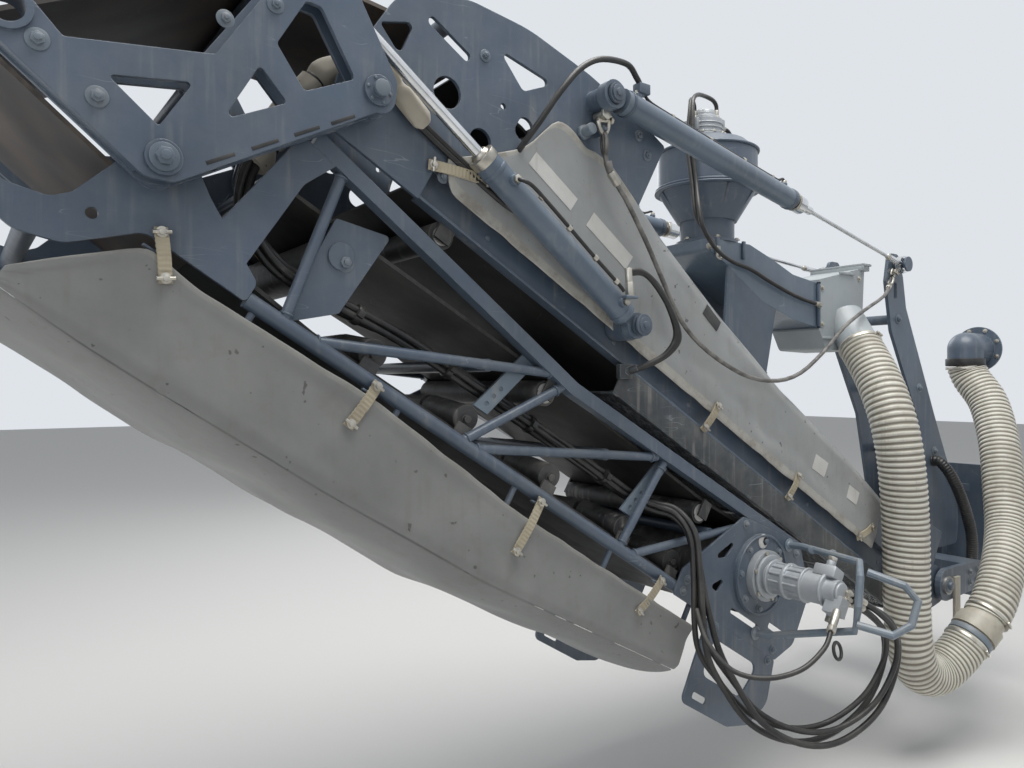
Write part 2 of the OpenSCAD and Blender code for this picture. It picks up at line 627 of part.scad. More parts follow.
module fold_barrels() color(steel) both_sides() difference() {
    along(barrel_eye, fold_angle) {
        translate([52, cyl_y, 0]) rotate([0, 90, 0]) cylinder(h = barrel_len - 52, r = fold_barrel_r, $fn = 40);
        translate([20, cyl_y - 15, -22]) cube([40, 30, 44]);
        translate([barrel_len - 26, cyl_y, 0]) rotate([0, 90, 0])
            cylinder(h = 26, r = fold_barrel_r - 1, $fn = 40);
        translate([0, cyl_y - 15, 0]) rotate([-90, 0, 0]) cylinder(h = 30, r = 40, $fn = 40);
    }
    pin(barrel_eye, cyl_y - 40, cyl_y + 40, cyl_pin_r + pin_fit);
    along(barrel_eye, fold_angle) translate([60, cyl_y, 0]) rotate([0, 90, 0])
        cylinder(h = barrel_len, r = fold_rod_r + 0.3, $fn = 32);
}

module fold_rods() color("#d7dadd") both_sides() difference() {
    along(barrel_eye, fold_angle) {
        translate([fold_len - 740, cyl_y, 0]) rotate([0, 90, 0]) cylinder(h = 740, r = fold_rod_r, $fn = 32);
        translate([fold_len, cyl_y - 12, 0]) rotate([-90, 0, 0]) cylinder(h = 24, r = 34, $fn = 32);
    }
    pin(rod_eye, cyl_y - 40, cyl_y + 40, cyl_pin_r + 1);
}

// Lift cylinders with their wire pendants, which run inwards to the mast head
mast_pin_y = mast_out + 36;
lift_v = [mast_eye[0] - lift_eye[0], mast_pin_y - lift_y, mast_eye[1] - lift_eye[1]];
lift_len = norm(lift_v);
lift_pitch = asin(-lift_v[2] / lift_len);
lift_yaw = atan2(lift_v[1], lift_v[0]);
lift_barrel = 1090;
module along_lift() translate([lift_eye[0], lift_y, lift_eye[1]]) rotate([0, lift_pitch, lift_yaw]) children();

module lift_barrel_half() color(steel) difference() {
    union() {
        along_lift() translate([45, 0, 0]) rotate([0, 90, 0])
            cylinder(h = lift_barrel - 45, r = lift_barrel_r, $fn = 40);
        pin(lift_eye, lift_y - 18, lift_y + 18, lift_ball_r + 12);
        along_lift() translate([35, 0, 0]) rotate([0, 90, 0]) cylinder(h = 30, r = 15, $fn = small_fn);
    }
    pin(lift_eye, lift_y - 60, lift_y + 60, lift_ball_r + pin_fit);
    along_lift() translate([90, 0, 0]) rotate([0, 90, 0])
        cylinder(h = lift_barrel, r = lift_rod_r + 0.3, $fn = 32);
}

module lift_rod_half() color("#d7dadd") difference() {
    union() {
        along_lift() {
            translate([lift_barrel - 420, 0, 0]) rotate([0, 90, 0]) cylinder(h = 460, r = lift_rod_r, $fn = 32);
            translate([lift_barrel + 30, 0, 0]) rotate([0, 90, 0]) cylinder(h = 50, r = 34, $fn = 32);
            translate([lift_barrel + 70, 0, 0]) rotate([0, 90, 0]) cylinder(h = 90, r = 16, $fn = 24);
            translate([lift_barrel + 150, 0, 0]) rotate([0, 90, 0])
                cylinder(h = lift_len - lift_barrel - 300, r = pendant_r, $fn = 16);
            translate([lift_len - 170, 0, 0]) rotate([0, 90, 0]) cylinder(h = 134, r = 14, $fn = 24);
        }
        pin(mast_eye, mast_pin_y - 13, mast_pin_y + 13, pendant_eye_r + 12);
    }
    pin(mast_eye, mast_pin_y - 40, mast_pin_y + 40, pendant_eye_r);
}
module lift_barrel_far() lift_barrel_half();
module lift_barrel_near() mirror([0, 1, 0]) lift_barrel_half();
module lift_rod_far() lift_rod_half();
module lift_rod_near() mirror([0, 1, 0]) lift_rod_half();

// Fold link
link_outline = rounded([[-4500, 1520, 44], [-4445, 1515, 40], [-4384, 1447, 10], [-4111, 1482, 8],
    [-3935, 1745, 30], [-3900, 1790, 40], [-3830, 1775, 40], [-3690, 1520, 40], [-3700, 1425, 44],
    [-3745, 1437, 0], [-4188, 1205, 44], [-4245, 1208, 44], [-4530, 1455, 44]]);
link_cuts = [
    rounded([[-4312, 1394, 6], [-4153, 1414, 6], [-4219, 1312, 6]]),
    rounded([[-4018, 1482, 8], [-3958, 1414, 8], [-4096, 1350, 8]]),
    rounded([[-3915, 1650, 14], [-3880, 1646, 14], [-3798, 1503, 12], [-3920, 1448, 12], [-3982, 1538, 12]])];

module link_plate(y0, t) difference() {
    plate(link_outline, y0, t);
    for (c = link_cuts) plate(c, y0 - 1, t + 2);
    pin(fold_1, y0 - 1, y0 + t + 1, fold_pin_r + pin_fit);
    pin(fold_2, y0 - 1, y0 + t + 1, fold_pin_r + pin_fit);
    pin(rod_eye, y0 - 1, y0 + t + 1, cyl_pin_r);
    pin(horn, y0 - 1, y0 + t + 1, 32);
}

module link_side() color(steel) {
    link_plate(link_in, link_in_t);
    link_plate(link_out, link_out_t);
    plate([[-4500, 1434], [-4494, 1441], [-4252, 1232], [-4258, 1225]], slot_in, link_slot);
    plate([[-4100, 1252], [-4096, 1260], [-3800, 1413], [-3796, 1405]], slot_in, link_slot);
    pin(rod_eye, link_in, slot_in, cyl_pin_r);
    pin(rod_eye, link_out, link_face + 6, cyl_pin_r);
    difference() {
        pin(horn, link_in - 12, link_face + 8, 45);
        pin(horn, link_in - 13, link_face + 9, 32);
    }
}
module link_far() link_side();
module link_near() mirror([0, 1, 0]) link_side();

// Cross tube between the links, and the belt roller that it carries on two arms
link_roller = [-3925, 1735];
link_roller_r = 48;
link_tube_at = [-4130, 1445];
link_arm = 26 * unit(link_roller - link_tube_at);
link_arm_side = [link_arm[1], -link_arm[0]];
link_arm_in = belt_half + 10;
module link_tubes() color(steel) {
    pin(link_tube_at, -link_in, link_in, 20);
    both_sides()
        plate(rounded([for (q = [link_tube_at - link_arm + link_arm_side, link_roller + link_arm + link_arm_side,
            link_roller + link_arm - link_arm_side, link_tube_at - link_arm - link_arm_side])
            [q[0], q[1], 20]]), link_arm_in, plate_t);
    pin(link_roller, -belt_half - 5, belt_half + 5, link_roller_r, 40);
    pin(link_roller, -link_arm_in - 1, link_arm_in + 1, 16, 24);
}

// Belt around the fold
module fold_belt() color("#1b1c1d")
    skin(concat(
        [belt_ring(from_inner([belt_end - 20, strand_z(belt_end - 20)]), 55, 0)],
        wrap(link_roller, link_roller_r, 70, 118, 3),
        wrap(horn, 34, 118, 235, 6),
        [belt_ring(from_outer([130, -68]), 235, 0)]));

// Folded lower section: side trusses. Joints of the truss, as [x, z]
chord_a = [235, 295];
chord_k = [1225, 205];
chord_b = [2490, 270];
low_z = -120;
truss_y = frame_half - chord_s / 2;
diag_rows = [[[330, 287], [400, low_z]], [[470, low_z], [1150, 212]], [[1190, 190], [965, low_z]],
    [[1000, low_z], [1650, 205]], [[1690, 205], [1650, low_z]], [[1700, low_z], [2200, 225]]];
chord_top = [0, chord_s / 2];
chord_x = 301;
bend_at = [439, 107];
function chord_low(x) = chord_a[1] - chord_s / 2 + (chord_k[1] - chord_a[1]) * (x - chord_a[0]) / (chord_k[0] - chord_a[0]);
module outer_trusses() color(steel) at_outer() both_sides() {
    plate([chord_a - chord_top, chord_a + chord_top, chord_k + chord_top, chord_b + chord_top,
        chord_b - chord_top, chord_k - chord_top], frame_half - chord_s, chord_s);
    bar([chord_x, truss_y, low_z], [2560, truss_y, low_z], chord_r);
    for (d = diag_rows) bar([d[0][0], truss_y, d[0][1]], [d[1][0], truss_y, d[1][1]], diag_r);
    plate(rounded([[395, low_z, 0], [380, 180, 10], [523, 232, 10], [508, -15, 10]]), truss_y - 30, 10);
    pin(bend_at, truss_y - 30, truss_y - 14, 34, 24);
}

module outer_arms() color(steel) at_outer() both_sides() {
    difference() {
        plate(rounded([[-330, -175, 24], [-188, -193, 30], [-117, -172, 30], [-90, -140, 30], [-62, -40, 30],
            [-55, 60, 60], [60, 62, 60], [120, 20, 40], [300, -80, 20], [300, low_z - 10, 10],
            [56, low_z - 5, 40], [-50, -235, 60], [-130, -262, 60], [-330, -225, 24]]), cheek_in, plate_t);
        pin([0, 0], cheek_in - 1, frame_half + 1, fold_pin_r);
        pin([-41, -153], cheek_in - 1, frame_half + 1, 12, 24);
    }
    plate(rounded([[150, low_z + 20, 0], [205, chord_low(205) - seat, 0], [306, chord_low(306) - seat, 0],
        [268, 180, 60], [255, low_z + 20, 0]]), cheek_in, plate_t);
    difference() {
        pin([0, 0], cheek_in - 14, frame_half + link_gap - seat, 46);
        pin([0, 0], cheek_in - 15, frame_half + link_gap, fold_pin_r);
    }
    pin([0, 0], cheek_in - 14, link_face + 1, fold_pin_r);
    pin([0, 0], link_face + 1, link_face + 9, fold_washer_r);
    pin([0, 0], link_face + 9, link_face + 22, 17, 24);
}

outer_tube_x = [941, 1460, 2033];
module outer_cross_tubes() color(steel) at_outer() {
    for (x = outer_tube_x) pin([x, 110], -truss_y + 10, truss_y - 10, cross_r - 6);
    pin([240, 236], -cheek_in, cheek_in, cross_r - 4);
    pin([-120, -215], -cheek_in, cheek_in, cross_r);
}

// Head end of the lower section
drum_at = [2312, 85];
disc_r = 146;
head_t = 8;
disc_face = frame_half + head_t + 12;
module head_plates() color(steel) at_outer() both_sides() difference() {
    union() {
        plate(rounded([[1930, -60, 10], [2130, 225, 20], [2480, 285, 20], [2640, 150, 60], [2640, -60, 40],
            [2560, -150, 20], [1930, -150, 10]]), frame_half, head_t);
        pin(drum_at, frame_half + head_t, disc_face, disc_r);
    }
    for (c = [
        rounded([[2150, 170, 10], [2110, 60, 10], [2040, 20, 10]]),
        rounded([[2150, 10, 10], [2130, -60, 10], [2080, -60, 10]]),
        rounded([[2230, -75, 8], [2400, -75, 8], [2400, -95, 8], [2230, -95, 8]]),
        rounded([[2460, -40, 8], [2590, -40, 8], [2590, -62, 8], [2460, -62, 8]])])
        plate(c, frame_half - 1, head_t + 2);
    pin(drum_at, frame_half - 20, disc_face + 1, 45);
}

module head_drum() color("#2e3134") at_outer() {
    pin(drum_at, -belt_half - 5, belt_half + 5, head_r, 64);
    pin(drum_at, -disc_face, disc_face, 44);
}

module drive_motor() color("silver") at_outer() mirror([0, 1, 0]) {
    pin(drum_at, disc_face + seat, disc_face + 28, 90, 32);
    pin(drum_at, disc_face + 28, disc_face + 250, 52, 40);
    pin(drum_at, disc_face + 250, disc_face + 300, 40, 32);
    translate([drum_at[0] - 20, disc_face + 270, drum_at[1] - 75]) cube([50, 55, 60]);
}

guard_r = 13;
guard_y = -disc_face - 354;
module motor_guard() color("#5b6875") at_outer() {
    y0 = -frame_half - head_t;
    tube([[2420, y0 - seat, 248], [2412, y0 - 60, 250], [2340, guard_y + 36, 210], [2306, guard_y, 150],
        [2330, guard_y - 9, 60], [2370, guard_y + 1, -10], [2400, y0 - 60, -98], [2400, y0 - seat, -105]],
        guard_r, [1, 0, 0], 10, start = [0, -1, 0], finish = [0, 1, 0]);
    tube([[2318, guard_y - 12, 175], [2365, guard_y - 114, 170], [2400, guard_y - 149, 140],
        [2400, guard_y - 149, 60], [2380, guard_y - 114, 10], [2345, guard_y - 14, 5]], guard_r, [1, 0, 0.3], 10);
}

outer_idler_x = [640, 966, 1310, 1664, 1925];
carry_z = drum_at[1] - head_r - belt_t / 2 - 1.2 - seat;
module outer_carrying_idlers() color("#3a3d40") at_outer()
    for (x = outer_idler_x) idler_set(x, carry_z, -1, low_z + 10);

outer_return_x = [1168, 1972];
bend_r = 60;
module outer_return_rollers() color("#3a3d40") at_outer() {
    for (x = outer_return_x) {
        pin([x, 156], -belt_half, belt_half, idler_r, 32);
        pin([x, 156], -rail_in, rail_in, 11, 16);
        both_sides() translate([x - 22, rail_in, 138]) cube([44, 9, 62]);
    }
    pin(bend_at, -belt_half, belt_half, bend_r, 40);
    pin(bend_at, -truss_y + 30, truss_y - 30, 20, 24);
}

module outer_belt() color("#1b1c1d") at_outer() {
    over = belt_t / 2 + idler_gap;
    skin(concat(
        [belt_ring([150, carry_z], -90, 0)],
        [for (x = [480, 1960]) belt_ring([x, carry_z], -90, trough)],
        wrap(drum_at, head_r, -90, 88, 12),
        [for (x = [1972, 1168]) belt_ring([x, 156 + idler_r + over], 90, 0)],
        [belt_ring(bend_at + [0, bend_r + over], 90, 0), belt_ring([260, 168], 90, 0)]));
}

// Cover on the underside of the folded section: [x, depth of its top edge, shoulder, crown]
outer_cover_rows = [[-104, 330, 366, 418], [71, 150, 385, 440], [204, 166, 392, 450], [687, 156, 408, 470],
    [1227, 200, 410, 478], [2075, 205, 360, 418]];
outer_shoulder = [for (r = outer_cover_rows) [r[0], r[2]]];
outer_crown = [for (r = outer_cover_rows) [r[0], r[3]]];
module outer_cover() color("#8b8d88") at_outer()
    mirror([0, 0, 1]) skin([for (r = outer_cover_rows) shell_ring(r[0], cover_w, r[1], r[2], r[3])]);

outer_hoop_x = [330, 760, 1190, 1620, 2050];
module outer_hoops() color(steel) at_outer()
    for (x = outer_hoop_x)
        tube([for (q = arch(truss_y, chord_r - low_z + seat, lookup(x, outer_shoulder) - hoop_drop,
            lookup(x, outer_crown) - hoop_drop)) [x, q[0], -q[1]]], hoop_r, [1, 0, 0], 8,
            start = [0, 0, -1], finish = [0, 0, 1]);

module head_shield() color(steel) at_outer() both_sides() {
    difference() {
        plate(rounded([[2130, -150, 10], [2560, -150, 10], [2600, -300, 60], [2530, -400, 40], [2420, -440, 30],
            [2150, -440, 30]]), frame_half, head_t);
        plate(rounded([[2190, -390, 8], [2270, -390, 8], [2270, -412, 8], [2190, -412, 8]]),
            frame_half - 1, head_t + 2);
        plate(rounded([[2200, -200, 30], [2480, -200, 30], [2440, -330, 30], [2200, -330, 30]]),
            frame_half - 1, head_t + 2);
    }
}

// Clamp plates over the hose bundle, hung from the upper chord: [x at the foot, x at the chord]
clamp_rows = [[990, 1060], [1640, 1710]];
module hose_clamps() color("#6b7783") at_outer()
    for (c = clamp_rows)
        difference() {
            plate([[c[0] - 26, -5], [c[0] + 26, -5], [c[1] + 26, 205], [c[1] - 26, 205]], -rail_in, 9.7);
            for (z = [20, 50, 80]) pin([c[0] + (z + 5) / 3, z], -rail_in - 1, -rail_in + 4, 7, 16);
        }

bundle = spread([[165, -318, 262], [158, -318, 160], [205, -318, 60], [310, -318, 8], [439, -318, 4], [560, -318, 20],
    [720, -318, 42], [1000, -318, 52], [1400, -318, 60], [1690, -318, 64], [1770, -330, 78], [1828, -372, 88],
    [1880, -428, 40], [1945, -452, -70], [2010, -468, -175], [2090, -478, -262], [2200, -498, -320],
    [2350, -540, -380], [2500, -600, -372], [2630, -650, -300], [2710, -700, -160], [2700, -730, -10],
    [2600, -752, 70], [2480, -750, 88], [2358, -722, 88]], 0, 300);
module hose_bundle() color("#17181a") at_outer()
    tube(curve(bundle, 2), bundle_r, [0.2, 1, 0.1], 8, start = bundle[1] - bundle[0]);

function outer_point(p) = let (q = from_outer([p[0], p[2]])) [q[0], p[1], q[1]];
sleeve_to = outer_point(bundle[0]);
sleeve_dir = unit(outer_point(bundle[1]) - sleeve_to);
sleeve_from = spread([[-3600, -341, 1520], [-3700, -344, 1575], [-3800, -343, 1570], [-3870, -334, 1500]], 0, 300);
sleeve = concat(sleeve_from, [sleeve_to - 40 * sleeve_dir, sleeve_to - 0.3 * sleeve_dir]);
module hose_sleeve() color("#b9b19c") tube(curve(sleeve, 3), 28, [0, 1, 0], 10, finish = sleeve_dir);

console();
slew_pins();
duct_inlet();
suction_hose_lower();
slew_frame();
mast();
foot_pins();
hose_coupling();
harness_hose();
inner_rails();
inner_cheeks();
inner_cross_tubes();
inner_carrying_idlers();
inner_return_rollers();
tail_drum();
inner_belt();
inner_hoops();
inner_cover();
mesh_guard();
feed_hopper();
fan_bridge();
fan_housing();
fan_motor();
fan_duct();
duct_box();
suction_hose_upper();
safety_rope();
fold_barrels();
fold_rods();
lift_barrel_near();
lift_barrel_far();
lift_rod_near();
lift_rod_far();
link_near();
link_far();
link_tubes();
fold_belt();
outer_trusses();
outer_arms();
outer_cross_tubes();
head_plates();
head_drum();
drive_motor();
motor_guard();
outer_carrying_idlers();
outer_return_rollers();
outer_belt();
outer_hoops();
outer_cover();
head_shield();
hose_clamps();
hose_bundle();
hose_sleeve();
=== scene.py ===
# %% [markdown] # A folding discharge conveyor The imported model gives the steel, the joints and the sizes.
# This lesson dresses it: covers, hoses, ropes, fasteners and finishes.
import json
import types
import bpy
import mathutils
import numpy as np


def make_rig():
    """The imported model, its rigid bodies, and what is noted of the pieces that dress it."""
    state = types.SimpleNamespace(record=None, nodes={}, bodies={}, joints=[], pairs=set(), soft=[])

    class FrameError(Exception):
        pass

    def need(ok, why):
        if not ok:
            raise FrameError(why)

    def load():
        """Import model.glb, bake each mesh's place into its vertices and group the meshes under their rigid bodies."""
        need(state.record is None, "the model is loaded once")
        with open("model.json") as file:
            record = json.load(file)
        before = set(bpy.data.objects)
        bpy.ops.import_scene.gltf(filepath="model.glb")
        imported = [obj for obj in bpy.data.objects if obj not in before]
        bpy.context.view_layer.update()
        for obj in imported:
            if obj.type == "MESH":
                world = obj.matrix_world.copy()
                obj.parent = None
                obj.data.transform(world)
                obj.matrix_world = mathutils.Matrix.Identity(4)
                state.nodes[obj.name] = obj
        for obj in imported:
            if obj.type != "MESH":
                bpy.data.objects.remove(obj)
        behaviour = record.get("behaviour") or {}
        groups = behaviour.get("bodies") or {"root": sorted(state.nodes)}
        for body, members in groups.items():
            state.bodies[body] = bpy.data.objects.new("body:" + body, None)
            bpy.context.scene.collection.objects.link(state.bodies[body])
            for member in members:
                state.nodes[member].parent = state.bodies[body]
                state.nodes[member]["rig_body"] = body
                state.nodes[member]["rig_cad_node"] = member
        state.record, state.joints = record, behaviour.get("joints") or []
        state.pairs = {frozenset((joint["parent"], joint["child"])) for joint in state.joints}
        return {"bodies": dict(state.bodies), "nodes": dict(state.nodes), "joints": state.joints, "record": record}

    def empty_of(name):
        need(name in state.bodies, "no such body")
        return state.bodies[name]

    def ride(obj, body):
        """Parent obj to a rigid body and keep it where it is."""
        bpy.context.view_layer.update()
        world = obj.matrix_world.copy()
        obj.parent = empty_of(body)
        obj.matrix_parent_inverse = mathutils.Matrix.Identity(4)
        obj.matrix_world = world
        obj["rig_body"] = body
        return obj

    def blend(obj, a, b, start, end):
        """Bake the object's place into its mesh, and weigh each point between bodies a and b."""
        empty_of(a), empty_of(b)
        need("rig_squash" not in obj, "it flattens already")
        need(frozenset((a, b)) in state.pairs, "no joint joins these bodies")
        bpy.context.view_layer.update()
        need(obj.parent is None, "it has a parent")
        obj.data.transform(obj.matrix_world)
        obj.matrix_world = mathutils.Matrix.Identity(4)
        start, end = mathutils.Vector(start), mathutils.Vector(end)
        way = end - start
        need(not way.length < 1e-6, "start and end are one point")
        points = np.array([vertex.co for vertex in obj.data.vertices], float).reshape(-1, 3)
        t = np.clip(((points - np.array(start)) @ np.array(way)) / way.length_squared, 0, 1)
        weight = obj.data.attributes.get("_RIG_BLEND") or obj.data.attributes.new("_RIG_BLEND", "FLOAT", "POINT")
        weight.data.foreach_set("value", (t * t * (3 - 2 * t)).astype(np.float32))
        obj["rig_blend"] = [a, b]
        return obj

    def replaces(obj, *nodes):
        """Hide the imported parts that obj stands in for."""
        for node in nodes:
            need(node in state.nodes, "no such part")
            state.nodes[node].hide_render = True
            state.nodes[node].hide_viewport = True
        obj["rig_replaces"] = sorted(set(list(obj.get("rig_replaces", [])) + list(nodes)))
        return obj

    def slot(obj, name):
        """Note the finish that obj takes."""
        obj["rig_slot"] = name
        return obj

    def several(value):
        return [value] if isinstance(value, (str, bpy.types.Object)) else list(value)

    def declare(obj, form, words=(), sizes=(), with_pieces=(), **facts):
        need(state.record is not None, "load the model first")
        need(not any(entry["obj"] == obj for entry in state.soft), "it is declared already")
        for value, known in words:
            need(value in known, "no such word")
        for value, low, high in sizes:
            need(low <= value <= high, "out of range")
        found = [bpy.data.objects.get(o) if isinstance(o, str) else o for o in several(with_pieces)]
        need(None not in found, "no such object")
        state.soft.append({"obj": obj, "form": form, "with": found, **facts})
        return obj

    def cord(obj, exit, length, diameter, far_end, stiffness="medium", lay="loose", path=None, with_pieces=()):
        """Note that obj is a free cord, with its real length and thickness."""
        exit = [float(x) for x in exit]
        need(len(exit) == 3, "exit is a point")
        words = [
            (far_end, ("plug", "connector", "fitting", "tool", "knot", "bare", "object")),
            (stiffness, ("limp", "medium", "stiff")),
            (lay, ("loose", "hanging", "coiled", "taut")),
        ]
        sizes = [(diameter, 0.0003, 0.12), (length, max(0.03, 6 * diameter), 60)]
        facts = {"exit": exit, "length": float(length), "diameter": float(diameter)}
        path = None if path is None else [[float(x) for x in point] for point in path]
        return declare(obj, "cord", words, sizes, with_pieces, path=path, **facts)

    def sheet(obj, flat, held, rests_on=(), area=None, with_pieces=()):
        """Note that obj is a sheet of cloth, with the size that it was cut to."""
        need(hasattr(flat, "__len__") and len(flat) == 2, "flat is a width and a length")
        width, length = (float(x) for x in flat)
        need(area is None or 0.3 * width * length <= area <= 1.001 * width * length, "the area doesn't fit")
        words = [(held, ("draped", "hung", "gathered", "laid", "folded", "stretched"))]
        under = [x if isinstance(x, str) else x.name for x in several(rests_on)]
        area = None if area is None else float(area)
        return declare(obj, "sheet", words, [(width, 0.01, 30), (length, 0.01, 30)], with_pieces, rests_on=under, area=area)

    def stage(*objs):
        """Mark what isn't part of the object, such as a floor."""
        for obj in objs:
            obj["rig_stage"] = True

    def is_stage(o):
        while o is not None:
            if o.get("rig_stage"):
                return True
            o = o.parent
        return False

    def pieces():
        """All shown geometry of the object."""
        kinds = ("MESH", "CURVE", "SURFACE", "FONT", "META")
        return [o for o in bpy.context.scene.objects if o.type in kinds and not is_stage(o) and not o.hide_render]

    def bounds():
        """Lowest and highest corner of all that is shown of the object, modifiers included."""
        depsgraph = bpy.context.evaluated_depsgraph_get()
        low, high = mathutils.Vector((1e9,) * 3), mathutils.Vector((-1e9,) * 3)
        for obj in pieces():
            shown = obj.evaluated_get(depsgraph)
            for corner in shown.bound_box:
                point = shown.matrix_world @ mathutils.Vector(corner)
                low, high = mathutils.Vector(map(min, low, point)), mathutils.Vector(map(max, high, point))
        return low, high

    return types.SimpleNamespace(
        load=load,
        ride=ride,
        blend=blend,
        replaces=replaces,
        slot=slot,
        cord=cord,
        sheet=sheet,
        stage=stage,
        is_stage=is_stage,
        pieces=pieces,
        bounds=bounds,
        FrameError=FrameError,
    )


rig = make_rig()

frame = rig.load()
import json
import math
import bpy
from mathutils import Matrix, Vector, noise

cad_low, cad_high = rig.bounds()
nodes = frame["nodes"]
print("frame:", len(nodes), "nodes on", len(frame["bodies"]), "bodies")

# %% [markdown]
# The upper section and the folded lower section each have their own slope. Their pieces are drawn in that
# section's own millimetres, x along it and z square to it, and one matrix puts them in place.
# %% Section frames
MM = 0.001
FOOT = Vector((-0.830, 0, -0.130))
FOLD_2 = Vector((-4.211, 0, 1.250))
WORLD = Matrix.Scale(MM, 4)
FRAME_HALF = 392
INNER = Matrix.Translation(FOOT) @ Matrix.Rotation(math.radians(30), 4, "Y") @ WORLD
OUTER = Matrix.Translation(FOLD_2) @ Matrix.Rotation(math.radians(31.5), 4, "Y") @ WORLD


def clear():
    bpy.ops.object.select_all(action="DESELECT")


def pick(obj):
    clear()
    obj.select_set(True)
    bpy.context.view_layer.objects.active = obj
    return obj


def settle(obj, place):
    """Put a piece drawn in a section's millimetres where it belongs, with its place in its mesh."""
    obj.matrix_world = place @ obj.matrix_world
    pick(obj)
    bpy.ops.object.transform_apply(location=True, rotation=True, scale=True)
    return obj


def soften(obj, angle=35):
    pick(obj)
    bpy.ops.object.shade_smooth_by_angle(angle=math.radians(angle))
    return obj


def mesh_piece(name, verts, faces):
    """A new piece from its points and faces."""
    mesh = bpy.data.meshes.new(name)
    mesh.from_pydata(verts, [], faces)
    obj = bpy.data.objects.new(name, mesh)
    bpy.context.scene.collection.objects.link(obj)
    return obj


def in_millimetres(obj):
    """Turn a piece that was made in metres into millimetres, ready to be joined with others."""
    obj.scale = (1000, 1000, 1000)
    pick(obj)
    bpy.ops.object.transform_apply(scale=True)
    return obj


def one_from(name, parts):
    """Join parts into the first of them."""
    clear()
    for part in parts:
        part.select_set(True)
    bpy.context.view_layer.objects.active = parts[0]
    if len(parts) > 1:
        bpy.ops.object.join()
    obj = bpy.context.object
    obj.name = name
    return obj


def thicken(obj, thick, offset=0):
    """Give a sheet its thickness: half to each side of it, or with offset -1 all behind it."""
    shell = obj.modifiers.new("thickness", "SOLIDIFY")
    shell.thickness, shell.offset = thick, offset
    pick(obj)
    bpy.ops.object.modifier_apply(modifier=shell.name)
    return obj


print("sections start at", tuple(FOOT), "and", tuple(FOLD_2))

# %% [markdown]
# The camera stands low beside the fold, looking along the machine, as the photographer did.
# A 27 mm lens on a 36 mm sensor gives the same perspective.
# %% Camera
VIEW_TURN = math.radians(36)
clear()
bpy.ops.object.camera_add(location=(-4.55, -2.124, 0.80), rotation=(math.pi / 2, 0, -VIEW_TURN))
camera = bpy.context.object
camera.name = "camera"
camera.data.lens = 27.07
camera.data.sensor_width = 36
camera.data.clip_end = 60
bpy.context.scene.camera = camera
print("camera looks along", tuple(round(c, 3) for c in camera.matrix_world.to_3x3() @ Vector((0, 0, -1))))

# %% [markdown]
# A slack safety rope hangs from the lifting eye on the cheek to the mast head. Its line repeats the route that
# the frame's solid takes, so that it hangs in the same place.
# %% Safety rope line
ROPE_R = 0.008
rope_marks = [(-2982, -430, 1541), (-2970, -436, 1440), (-2905, -440, 1365), (-2818, -440, 1248),
              (-2738, -440, 1125), (-2659, -440, 1009), (-2563, -440, 931), (-2436, -440, 868),
              (-2301, -440, 824), (-2143, -440, 812), (-1985, -430, 842), (-1790, -400, 925),
              (-1560, -350, 1035), (-1290, -285, 1125), (-1000, -220, 1215), (-860, -176, 1290)]


def smooth_line(marks, steps):
    """A curve through marks, with steps points to each stretch."""
    marks = [Vector(m) for m in marks]
    line = []
    for i in range(len(marks) - 1):
        p0, p1, p2, p3 = marks[max(i - 1, 0)], marks[i], marks[i + 1], marks[min(i + 2, len(marks) - 1)]
        for j in range(steps):
            t = j / steps
            line.append(0.5 * (2 * p1 + (p2 - p0) * t + (2 * p0 - 5 * p1 + 4 * p2 - p3) * t * t
                               + (3 * p1 - p0 - 3 * p2 + p3) * t * t * t))
    return line + [marks[-1]]


def line_length(line):
    return sum((b - a).length for a, b in zip(line, line[1:]))


rope_line = [WORLD @ p for p in smooth_line(rope_marks, 3)]
print("safety rope:", round(line_length(rope_line), 3), "m")

# %% [markdown]
# A hose, a rope or a bent bar is a ring of points carried along a line. One helper carries it, and a second
# number at each step may swell or narrow it, which makes ribs, strands and creases.
# %% Tube along a line
def carry_ring(name, line, radius, sides=12, swell=None):
    """A tube round line; swell(i, angle) returns a factor on the radius."""
    verts, faces = [], []
    up = Vector((0.13, 0.21, 1)).normalized()
    side = None
    for i, p in enumerate(line):
        t = (line[min(i + 1, len(line) - 1)] - line[max(i - 1, 0)]).normalized()
        side = t.cross(up).normalized() if side is None else (side - t * side.dot(t)).normalized()
        lift = side.cross(t)
        for k in range(sides):
            a = 2 * math.pi * k / sides
            r = radius * (swell(i, a) if swell else 1)
            verts.append(p + side * (r * math.cos(a)) + lift * (r * math.sin(a)))
    for i in range(len(line) - 1):
        for k in range(sides):
            a, b = i * sides + k, i * sides + (k + 1) % sides
            faces.append((a, a + sides, b + sides, b))
    faces.append(tuple(range(sides)))
    faces.append(tuple(range(len(verts) - 1, len(verts) - 1 - sides, -1)))
    obj = mesh_piece(name, verts, faces)
    pick(obj)
    bpy.ops.object.mode_set(mode="EDIT")
    bpy.ops.mesh.select_all(action="SELECT")
    bpy.ops.mesh.normals_make_consistent(inside=False)
    bpy.ops.object.mode_set(mode="OBJECT")
    return soften(obj, 60)


def resample(line, step):
    """Points a step apart along a line."""
    out, carried = [line[0].copy()], 0.0
    for a, b in zip(line, line[1:]):
        length = (b - a).length
        while carried + length >= step:
            t = (step - carried) / length
            a = a + (b - a) * t
            length = (b - a).length
            carried = 0.0
            out.append(a.copy())
        carried += length
    if (out[-1] - line[-1]).length > step * 0.3:
        out.append(line[-1].copy())
    else:
        out[-1] = line[-1].copy()
    return out


print("safety rope line:", len(resample(rope_line, ROPE_R)), "points, a radius apart")


